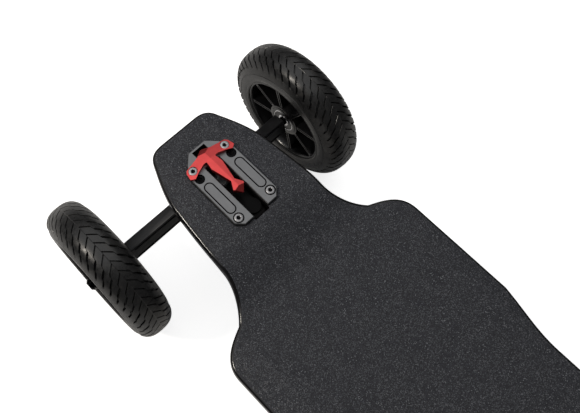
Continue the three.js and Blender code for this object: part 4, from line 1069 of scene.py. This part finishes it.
def make_hanger(end, sign):
    bar = side_slab([rounded((-BAR_HALF, -BAR_DEPTH), (BAR_HALF, BAR_DEPTH), BAR_CORNER)],
                    -BAR_REACH, BAR_REACH, BAR_EDGE, 2)
    obj = build(f"{end}_hanger_casting", moved(bar, ON_BAR), BLACK)
    yoke = side_slab([steer_points(STEER_FOOT, YOKE)[::-1]], -YOKE_HALF, YOKE_HALF, YOKE_EDGE, 4)
    join(obj, yoke, moved(lathe(NOSE_PROFILE, ROD_SIDES), ON_STEER))
    room = rounded((-BUSHING_ROOM, -ROOM_SIDE), (BUSHING_ROOM, ROOM_SIDE), 1)
    cut(obj, moved(slab([room], ROOM_LOW, ROOM_HIGH), ON_KINGPIN), drill(ON_KINGPIN, RING_BORE, -SEAT, SEAT))
    join(obj, moved(lathe(RING_PROFILE), ON_KINGPIN))
    reach = BAR_REACH + FAR_PAST
    cuts = [drill(ON_AXLE @ LIE, AXLE_HOLE, -reach, reach)]
    for level in GROOVE_LEVELS:
        groove = rounded((GROOVE_FROM, level), (GROOVE_TO, level + GROOVE_RISE), GROOVE_CORNER, 2)
        for low, high in ((GROOVE_INNER, GROOVE_OUTER), (-GROOVE_OUTER, -GROOVE_INNER)):
            cuts.append(moved(side_slab([groove], low, high), ON_BAR))
    cut(obj, *cuts)
    soften(obj, HANGER_EASE)
    put(obj, end_place(sign), f"{end}_truck_hanger", "black_metal", f"{end}_hanger")


# Axle with two lock nuts, and each wheel's two bearings with the tube between them
AXLE_RADIUS, AXLE_TIP, TIP_EASE = 5, WHEEL_Y + 26.6, 0.7
NUT_SEAT, NUT_HEIGHT = WHEEL_Y + 17.3, 6.2
AXLE_PROFILE = [
    (0, -AXLE_TIP), (4.3, -AXLE_TIP), (AXLE_RADIUS, TIP_EASE - AXLE_TIP), (AXLE_RADIUS, AXLE_TIP - TIP_EASE),
    (4.3, AXLE_TIP), (0, AXLE_TIP),
]
COLLAR_PROFILE = [(4.6, 5.8), (6.3, 5.8), (6.3, 7.3), (5.8, 8), (4.6, 8)]
BEARING_PROFILE = [
    (5.3, -19), (6.8, -19), (7.2, -18.6), (7.2, -18.3), (12.9, -18.3), (12.9, -18.8), (13, -19), (13.6, -19),
    (14, -18.6), (14, -11.4), (13.6, -11), (9, -11), (9, 9), (13.6, 9), (14, 9.4), (14, 16.6), (13.6, 17),
    (13, 17), (12.9, 16.8), (12.9, 16.3), (7.2, 16.3), (7.2, 16.6), (6.8, 17), (5.3, 17),
]
SEAL_INNER, SEAL_OUTER, SEAL_FROM = 7.7, 12.9, 16


def make_axle(end, sign):
    ends = [nut(AXLE_NUT, NUT_SEAT, NUT_SEAT + NUT_HEIGHT),
            lathe([(r, NUT_SEAT + z) for r, z in COLLAR_PROFILE], ROD_SIDES)]
    shapes = [moved(shape, half_turn(side, "X")) for side in SIDES.values() for shape in ends]
    bar = together(lathe(AXLE_PROFILE, ROD_SIDES), *shapes)
    obj = build(f"{end}_axle_bar", moved(bar, ON_AXLE @ LIE), OXIDE)
    put(obj, end_place(sign), f"{end}_truck_hanger", "black_steel", f"{end}_axle")


def make_bearings():
    for name, place, sign in wheels():
        shape = moved(lathe(BEARING_PROFILE, RING_SIDES), turn(-sign * QUARTER, "X"))
        obj = build(f"{name}_bearings_pair", shape, CHROME)
        tint(obj, SOCKET_DARK,
             lambda p: SEAL_INNER < hypot(p.x, p.z) < SEAL_OUTER and abs(p.y) > SEAL_FROM)
        put(obj, place, f"{name}_wheel", "bright_steel", f"{name}_bearings", angle=30)


for end, sign in ENDS.items():
    make_base(end, sign)
    make_kingpin(end, sign)
    make_bushings(end, sign)
    make_hanger(end, sign)
    make_axle(end, sign)
make_bearings()


# Belt drive, built for the right side: both pulleys, and the belt's teeth in their grooves
PITCH_MM, WHEEL_TEETH, MOTOR_TEETH, BELT_TEETH = 5.0, 48, 16, 65
BIG, SMALL = WHEEL_TEETH * PITCH_MM / FULL, MOTOR_TEETH * PITCH_MM / FULL
CENTRES = dist(middle("motor_rotor_left")[::2], (-AXLE[0], CROWN))
BELT_LEAN = asin((BIG - SMALL) / CENTRES)
BIG_WRAP, STRAIGHT = BIG * (QUARTER + BELT_LEAN), CENTRES * cos(BELT_LEAN)
BELT_ROOT, BELT_BACK, BACK_STEPS, BELT_EASE = -0.57, 1.5, 4, 0.25
BELT_LOW, BELT_HIGH = 94.85, 109.85
BELT_TOOTH = symmetric([(-1.6, 0), (-1.25, 0.25), (-1.05, 1.2), (-0.7, 1.85), (0, 2.06)])
PULLEY_GROOVE = symmetric([(-1.95, 0), (-1.6, 0.35), (-1.35, 1.7), (-0.8, 2.35), (0, 2.41)])
LAND_DROP = 0.92
DRIVE_TURN = -pi - radians(15)
IN_DRIVE = ON_AXLE @ turn(DRIVE_TURN, "Y")
AT_MOTOR = IN_DRIVE @ at(CENTRES)
ON_MOTOR = AT_MOTOR @ LIE


def belt_point(distance, offset):
    """A point beside the belt's pitch line, at a distance along it."""
    whole = BELT_TEETH * PITCH_MM
    wound = distance % whole
    run = min(wound, whole - wound)
    if run < BIG_WRAP:
        angle = pi - run / BIG
        x, y = (BIG + offset) * cos(angle), (BIG + offset) * sin(angle)
    elif run < BIG_WRAP + STRAIGHT:
        angle, done = QUARTER - BELT_LEAN, run - BIG_WRAP
        x = (BIG + offset) * cos(angle) + done * sin(angle)
        y = (BIG + offset) * sin(angle) - done * cos(angle)
    else:
        angle = QUARTER - BELT_LEAN - (run - BIG_WRAP - STRAIGHT) / SMALL
        x, y = CENTRES + (SMALL + offset) * cos(angle), (SMALL + offset) * sin(angle)
    return x, y if wound <= whole / 2 else -y


def toothed(teeth, radius, first):
    """A pulley's outline, with round-bottomed grooves."""
    points = []
    for i in range(teeth):
        for run, drop in PULLEY_GROOVE:
            angle, r = first + i * FULL / teeth + run / radius, radius - LAND_DROP - drop
            points.append((r * cos(angle), r * sin(angle)))
    return points


def put_drive(obj, mirror, body, slot, node):
    """Mirrors a piece of the drive where it belongs on the other side, and puts it at the rear."""
    obj.data.transform(mirror)
    if mirror.determinant() < 0:
        obj.data.flip_normals()
    put(obj, end_place(-1), body, slot, node)


def make_belt(hand, mirror):
    steps = range(BACK_STEPS * BELT_TEETH)
    outer = [belt_point(i * PITCH_MM / BACK_STEPS, BELT_BACK) for i in steps]
    inner = [belt_point(i * PITCH_MM + run, BELT_ROOT - drop) for i in range(BELT_TEETH)
             for run, drop in BELT_TOOTH]
    shape = side_slab([outer[::-1], inner], BELT_LOW, BELT_HIGH, BELT_EASE, 1)
    obj = build(f"drive_belt_{hand}_loop", moved(shape, IN_DRIVE), BELT)
    put_drive(obj, mirror, "rear_truck_hanger", "rubber", f"drive_belt_{hand}")


PULLEY_BORE, PULLEY_WALL, PULLEY_EDGE = 15, 1.5, 0.3
PULLEY_RING = [(PULLEY_BORE, BELT_HIGH), (18, BELT_HIGH), (18, 115.8), (17.6, 116.2), (PULLEY_BORE, 116.2)]
POCKETS, POCKET_START, POCKET_PLACE, POCKET_LONG, POCKET_WIDE, POCKET_SIDES = 6, 0.3, 27, 5.5, 6.5, 24
POCKET_CUTS = ((BELT_LOW - 1, BELT_LOW + 4), (BELT_HIGH - 2.5, BELT_HIGH + 2))


def make_wheel_pulley(hand, mirror):
    loops = [toothed(WHEEL_TEETH, BIG, pi), round_hole(PULLEY_BORE, sides=64)]
    gear = side_slab(loops, BELT_LOW, BELT_HIGH + PULLEY_WALL, PULLEY_EDGE)
    obj = build(f"wheel_pulley_{hand}_gear", moved(gear, IN_DRIVE), PLASTIC)
    join(obj, moved(lathe(PULLEY_RING), ON_AXLE @ LIE))
    pocket = [(POCKET_PLACE + POCKET_LONG * cos(t), POCKET_WIDE * sin(t))
              for t in np.linspace(0, FULL, POCKET_SIDES, endpoint=False)]
    for spoke in around(POCKETS, POCKET_START, "Y"):
        for low, high in POCKET_CUTS:
            cut(obj, moved(side_slab([pocket], low, high), ON_AXLE @ spoke))
    put_drive(obj, mirror, f"rear_{hand}_wheel", "hub_plastic", f"wheel_pulley_{hand}")


# Motor: a can that turns with its shaft and pulley, a stator with a flange, and a clamped mount
CAN, CAN_LOW, CAN_HIGH, CAN_WALL, CAN_FLOOR, CAN_EASE = 25, 25.85, 81.55, 2.4, 4, 0.3
SHAFT, CHEEK, CHEEK_WALL, CHEEK_RIM, CHEEK_TAPER = 4, SMALL + 3.3, 1.5, 1.1, 0.6
SMALL_REACH = 0.4
ROTOR_PROFILE = [
    (0, CAN_LOW), (23.4, CAN_LOW), (24.6, CAN_LOW + 0.5), (CAN, CAN_LOW + 1.6), (CAN, CAN_HIGH - CAN_EASE),
    (CAN - CAN_EASE, CAN_HIGH), (CAN - CAN_WALL, CAN_HIGH), (CAN - CAN_WALL, CAN_LOW + CAN_FLOOR),
    (SHAFT, CAN_LOW + CAN_FLOOR), (SHAFT, BELT_LOW - CHEEK_WALL),
    (CHEEK - 0.4, BELT_LOW - CHEEK_WALL), (CHEEK, BELT_LOW - CHEEK_RIM),
    (CHEEK - CHEEK_TAPER, BELT_LOW - GAP), (SHAFT, BELT_LOW - GAP), (SHAFT, BELT_HIGH + GAP),
    (CHEEK - CHEEK_TAPER, BELT_HIGH + GAP), (CHEEK, BELT_HIGH + CHEEK_RIM),
    (CHEEK - 0.4, BELT_HIGH + CHEEK_WALL), (0, BELT_HIGH + CHEEK_WALL),
]
VENTS, VENT_LENGTH, VENT_RADIUS, VENT_PLACE, VENT_DEPTH = 8, 7, 2.6, 15.5, 2.2
BAND_PLACES, BAND = (34, 73), [(24.6, 0), (CAN + PAST, 0), (CAN + PAST, 1), (24.6, 1)]
CORE, CORE_LOW, CORE_HIGH, STATOR_BORE = 21.5, 32.85, 82.15, 4.3
STATOR_FACE = 86.85
STATOR_PROFILE = [
    (STATOR_BORE, CORE_LOW), (20.9, CORE_LOW), (CORE, CORE_LOW + 0.6), (CORE, CORE_HIGH), (24.4, CORE_HIGH),
    (CAN, CORE_HIGH + 0.6), (CAN, STATOR_FACE - 0.4), (24.6, STATOR_FACE), (STATOR_BORE, STATOR_FACE),
]
WINDINGS, WINDING_END, WINDING_SLOT = 12, 3, rounded((18, -1.2), (24, 1.2), 0.4, 2)


def make_rotor(hand, mirror):
    obj = build(f"motor_rotor_{hand}_can", moved(lathe(ROTOR_PROFILE, MOTOR_SIDES), ON_MOTOR), MOTOR)
    outline = toothed(MOTOR_TEETH, SMALL, pi / MOTOR_TEETH)
    gear = side_slab([outline], BELT_LOW - SMALL_REACH, BELT_HIGH + SMALL_REACH)
    join(obj, moved(gear, AT_MOTOR))
    vent = slab([pill(VENT_LENGTH, VENT_RADIUS, VENT_PLACE, 0)], CAN_LOW - 2 * PAST, CAN_LOW + VENT_DEPTH)
    cut(obj, *(moved(vent, ON_MOTOR @ spin) for spin in around(VENTS)))
    for z in BAND_PLACES:
        band = [(r, z + rise) for r, rise in BAND]
        cut(obj, moved(lathe(band, MOTOR_SIDES), ON_MOTOR))
    put_drive(obj, mirror, f"{hand}_rotor", "motor_metal", f"motor_rotor_{hand}")


def make_stator(hand, mirror):
    obj = build(f"motor_stator_{hand}_core", moved(lathe(STATOR_PROFILE, MOTOR_SIDES), ON_MOTOR), GREY)
    slot = slab([WINDING_SLOT], CORE_LOW - PAST, CORE_HIGH - WINDING_END)
    cut(obj, *(moved(slot, ON_MOTOR @ spin) for spin in around(WINDINGS)))
    put_drive(obj, mirror, "rear_truck_hanger", "anodised_grey", f"motor_stator_{hand}")


HOLE_HALF, HOLE_DEPTH = BAR_HALF + GAP, BAR_DEPTH + GAP
CLAMP_WALL, CLAMP_CORNER, CLAMP_LOW, CLAMP_HIGH = 6, 2.5, 78.15, 92.1
ARM_FROM, ARM_TO, ARM_STEPS, MOUNT_EDGE, MOUNT_EASE = 87.15, 92.15, 24, 0.7, 0.3
MOUNT_SPAN, SHAFT_HOLE = (70, 98), 8
MOUNT_WINDOW, WINDOW_SPAN = [(30, -9), (44, -11), (44, 11), (30, 9)], (84, 96)
MOUNT_SCREWS, SCREW_START, SCREW_PLACE, SCREW_HOLE, SCREW_SPAN = 4, 0.4, 15.5, 2.9, (89.6, MOUNT_SPAN[1])
CLAMP_SCREW, CLAMP_SCREW_LEVELS, CLAMP_SCREW_Y, CLAMP_SCREW_SPAN = 2.6, (-4.5, 4.5), 82.5, (11, 18)


def make_mount(hand, mirror):
    reach = HOLE_DEPTH + CLAMP_WALL
    near = arc(0, 0, reach, QUARTER, 3 * QUARTER, ARM_STEPS + 1)
    far = arc(CENTRES, 0, CAN, -QUARTER, QUARTER, 2 * ARM_STEPS + 1)
    arm = side_slab([near + far], ARM_FROM, ARM_TO, MOUNT_EDGE, 2)
    obj = build(f"motor_mount_{hand}_bracket", moved(arm, IN_DRIVE), SATIN)
    half = HOLE_HALF + CLAMP_WALL
    outline = rounded((-half, -reach), (half, reach), CLAMP_CORNER)
    clamp = side_slab([outline], CLAMP_LOW, CLAMP_HIGH, MOUNT_EDGE, 2)
    join(obj, moved(clamp, ON_BAR))
    bar = side_slab([rounded((-HOLE_HALF, -HOLE_DEPTH), (HOLE_HALF, HOLE_DEPTH), BAR_CORNER)], *MOUNT_SPAN)
    cuts = [moved(bar, ON_BAR), drill(ON_MOTOR, SHAFT_HOLE, *MOUNT_SPAN),
            moved(side_slab([MOUNT_WINDOW], *WINDOW_SPAN), IN_DRIVE)]
    for spin in around(MOUNT_SCREWS, SCREW_START):
        cuts.append(drill(ON_MOTOR @ spin @ at(SCREW_PLACE), SCREW_HOLE, *SCREW_SPAN, HOLE_SIDES))
    for level in CLAMP_SCREW_LEVELS:
        place = ON_BAR @ turn(-QUARTER, "Y") @ at(level, CLAMP_SCREW_Y)
        cuts.append(drill(place, CLAMP_SCREW, *CLAMP_SCREW_SPAN, HOLE_SIDES))
    cut(obj, *cuts)
    soften(obj, MOUNT_EASE)
    put_drive(obj, mirror, "rear_truck_hanger", "black_metal", f"motor_mount_{hand}")


for hand, side in (("right", 1), ("left", -1)):
    mirror = Matrix.Diagonal((1, side, 1, 1))
    for make_piece in (make_belt, make_wheel_pulley, make_rotor, make_stator, make_mount):
        make_piece(hand, mirror)


# Battery case with its socket, cap and button
CASE_TOP = DECK_LOW - GAP
CASE_LOW = rest_box("battery_case")[0][2]
CASE_HALF, CASE_WALL, CASE_CORNER, CASE_TAPER, CASE_EDGE = 280, 3, 30, 6, 0.4
CORNER_STEPS, TAPER_STEPS = 10, 6
FITTING_Z = (CASE_TOP + CASE_LOW) / 2
SOCKET_X, BUTTON_X, WALL_Y = -210.0, -170.0, 95.0
CASE_FLOOR, SEAM_TOP, SEAM_LOW, SEAM_DEPTH = 9, 8, 9.2, 0.8
SOCKET_HOLE, BUTTON_HOLE, HOLE_REACH = 9.3, 7.3, 8
RECESS_X, RECESS_Y, RECESS_RADIUS, RECESS_DEPTH = (-262, -130, 0, 130, 262), 77, 4.6, 3.2
RECESS_IN, END_RECESS, END_SHARE = 0.975, 200, 0.9
LINES, LINE_STEP, LINE_HALF, LINE_REACH, LINE_CORNER, LINE_DEPTH = 9, 40, 1.6, 52, 1.5, 0.9
SOCKET_PROFILE = [
    (0, -12), (9, -12), (9, 0.3), (11.6, 0.3), (12, 0.7), (12, 1.3), (11.5, 1.8), (6.1, 1.8), (5.5, 1.3),
    (5.5, -7.2), (0, -7.2),
]
PIN_PROFILE = [(0, -7.4), (1.1, -7.4), (1.1, -0.6), (0.7, -0.2), (0, -0.2)]
PIN_REACH, PIN_DEPTH = 1.3, 7
BUTTON_PROFILE = [
    (0, -9.3), (9, -9.3), (9, -4.8), (7, -4.8), (7, 2.4), (6.4, 3), (5.2, 3), (4.7, 2.6), (0, 2.5),
]
HINGE_DOWN, FLAP_THICKNESS, FLAP_CORNER, FLAP_EDGE = 2, 2.5, 4, 0.6
HINGE_PROFILE = [(0, -13), (1.7, -13), (2, -12.7), (2, 12.7), (1.7, 13), (0, 13)]


def out_of_wall(x):
    return at(x, WALL_Y, FITTING_Z) @ LIE


def make_case():
    outline = rounded((-CASE_HALF, -WALL_Y), (CASE_HALF, WALL_Y), CASE_CORNER, CORNER_STEPS)
    shell = slab([outline], CASE_LOW, CASE_TOP, CASE_EDGE, TAPER_STEPS, CASE_TAPER)
    obj = build("battery_case_shell", shell, PLASTIC)
    seam = [inset_loop(outline, -2 * PAST), inset_loop(outline, SEAM_DEPTH)[::-1]]
    low, floor = CASE_LOW - PAST, CASE_LOW + RECESS_DEPTH
    cuts = [slab([inset_loop(outline, CASE_WALL)], CASE_LOW + CASE_FLOOR, CASE_TOP + 2 * PAST),
            slab(seam, CASE_TOP - SEAM_LOW, CASE_TOP - SEAM_TOP)]
    for radius, x in ((SOCKET_HOLE, SOCKET_X), (BUTTON_HOLE, BUTTON_X)):
        cuts.append(drill(out_of_wall(x), radius, -HOLE_REACH, HOLE_REACH))
    for x in RECESS_X:
        for side in (-1, 1):
            y = side * RECESS_Y * (1 if abs(x) < END_RECESS else END_SHARE)
            cuts.append(drill(at(x * RECESS_IN, y), RECESS_RADIUS, low, floor, HOLE_SIDES))
    for i in range(LINES):
        x = (i - LINES // 2) * LINE_STEP
        groove = rounded((x - LINE_HALF, -LINE_REACH), (x + LINE_HALF, LINE_REACH), LINE_CORNER)
        cuts.append(slab([groove], low, CASE_LOW + LINE_DEPTH))
    cut(obj, *cuts)
    put(obj, at(), "root", "case_plastic", "battery_case", angle=30)


def make_socket():
    place = out_of_wall(SOCKET_X)
    obj = build("charge_socket_body", moved(lathe(SOCKET_PROFILE), place), SOCKET_DARK)
    join(obj, moved(lathe(PIN_PROFILE, HOLE_SIDES), place))
    tint(obj, CHROME, lambda p: hypot(p.x - SOCKET_X, p.z - FITTING_Z) < PIN_REACH
         and p.y > WALL_Y - PIN_DEPTH)
    put(obj, at(), "root", "case_plastic", "charge_socket", angle=30)


def make_cap():
    (rear, inner, low), (front, _, high) = rest_box("charge_cap")
    hinge = high - HINGE_DOWN
    outline = rounded((rear, low), (front, hinge), FLAP_CORNER)
    flap = side_slab([outline], inner, inner + FLAP_THICKNESS, FLAP_EDGE, 3)
    obj = build("charge_cap_flap", flap, RUBBER)
    place = at(SOCKET_X, inner + HINGE_DOWN, hinge) @ turn(QUARTER, "Y")
    join(obj, moved(lathe(HINGE_PROFILE, HOLE_SIDES), place))
    put(obj, at(), "charge_cap", "rubber", "charge_cap")


def make_button():
    obj = build("power_button_cap", moved(lathe(BUTTON_PROFILE), out_of_wall(BUTTON_X)), CHROME)
    put(obj, at(), "power_button", "bright_steel", "power_button", angle=30)


make_case()
make_socket()
make_cap()
make_button()


# Nodes that keep their own shape
KEPT = {"battery_pack": WRAP, "motor_controller": GREY, "front_pivot_cup": URETHANE,
        "rear_pivot_cup": URETHANE}
for name, finish in KEPT.items():
    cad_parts[name].data.materials.clear()
    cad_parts[name].data.materials.append(finish)


# Floor, light and camera
FLOOR_HALF = 30000.0
PALE = (0.8, 0.8, 0.8, 1)
CAMERA_PLACE = (0.2358, 0.1784, 0.7566)
CAMERA_AZIMUTH, CAMERA_ELEVATION, CAMERA_ROLL = 136.73, 68.43, -0.07
CAMERA_LENS, SENSOR, CLIP_NEAR, CLIP_FAR = 42.26, 36.0, 0.01, 60
SKY_LEVEL, SKY_WHITE = 0.12, 1.0
PICTURE_WIDTH, PICTURE_CENTRE = 580, 232.6


def make_floor():
    """A pale floor that glows to the camera only, and that can be seen through from below."""
    finish = bpy.data.materials.new("pale_floor")
    finish.use_nodes = True
    tree = finish.node_tree
    tree.nodes.clear()
    rays = add_node(tree, "ShaderNodeLightPath").outputs["Is Camera Ray"]
    pale = add_node(tree, "ShaderNodeBsdfDiffuse", {"Color": PALE}).outputs[0]
    glow = add_node(tree, "ShaderNodeEmission", {"Color": PALE, "Strength": rays}).outputs[0]
    above = add_node(tree, "ShaderNodeAddShader", {0: pale, 1: glow}).outputs[0]
    behind = add_node(tree, "ShaderNodeNewGeometry").outputs["Backfacing"]
    clear = add_node(tree, "ShaderNodeBsdfTransparent").outputs[0]
    seen = add_node(tree, "ShaderNodeMixShader", {0: behind, 1: above, 2: clear}).outputs[0]
    add_node(tree, "ShaderNodeOutputMaterial", {"Surface": seen})
    corners = [(x * FLOOR_HALF, y * FLOOR_HALF, 0) for x, y in ((-1, -1), (1, -1), (1, 1), (-1, 1))]
    floor = build("floor", (corners, [(0, 1, 2, 3)]), finish)
    floor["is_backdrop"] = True


def make_world():
    """An even grey sky that lights the object and is white to the camera."""
    world = bpy.data.worlds.new("studio")
    scene.world = world
    world.use_nodes = True
    tree = world.node_tree
    tree.nodes.clear()
    rays = add_node(tree, "ShaderNodeLightPath").outputs["Is Camera Ray"]
    sky = add_node(tree, "ShaderNodeBackground", {"Strength": SKY_LEVEL}).outputs[0]
    white = add_node(tree, "ShaderNodeBackground", {"Strength": SKY_WHITE}).outputs[0]
    seen = add_node(tree, "ShaderNodeMixShader", {0: rays, 1: sky, 2: white}).outputs[0]
    add_node(tree, "ShaderNodeOutputWorld", {"Surface": seen})


def add_lamp(name, direction, distance, size, power, colour=(1, 1, 1)):
    """A square soft box that looks at the front half of the board from a direction."""
    lamp = bpy.data.lights.new(name, "AREA")
    lamp.size, lamp.energy, lamp.color = size, power, colour
    obj = bpy.data.objects.new(name, lamp)
    scene.collection.objects.link(obj)
    away = Vector(direction).normalized()
    obj.location = Vector((AXLE[0] / 2 * MM, 0, GRIP_TOP * MM)) + away * distance
    obj.rotation_euler = away.to_track_quat("Z", "Y").to_euler()


def make_camera():
    data = bpy.data.cameras.new("camera")
    data.lens, data.sensor_width = CAMERA_LENS, SENSOR
    data.shift_x = (PICTURE_WIDTH / 2 - PICTURE_CENTRE) / PICTURE_WIDTH
    data.clip_start, data.clip_end = CLIP_NEAR, CLIP_FAR
    camera = bpy.data.objects.new("camera", data)
    scene.collection.objects.link(camera)
    azimuth, elevation = radians(CAMERA_AZIMUTH), radians(CAMERA_ELEVATION)
    back = Vector((cos(azimuth) * cos(elevation), sin(azimuth) * cos(elevation), sin(elevation)))
    roll = turn(radians(CAMERA_ROLL), "Z").to_quaternion()
    camera.location = CAMERA_PLACE
    camera.rotation_mode = "QUATERNION"
    camera.rotation_quaternion = back.to_track_quat("Z", "Y") @ roll
    scene.camera = camera


make_floor()
make_world()
add_lamp("key", (0.43, 0.52, 0.74), 2.2, 0.3, 21, (1.0, 0.93, 0.83))
add_lamp("top", (0.33, -0.08, 0.93), 2.4, 3.2, 34)
make_camera()
scene.view_settings.view_transform = "Standard"

for low, high in (cad_box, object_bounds()):
    list(low)
    list(high)
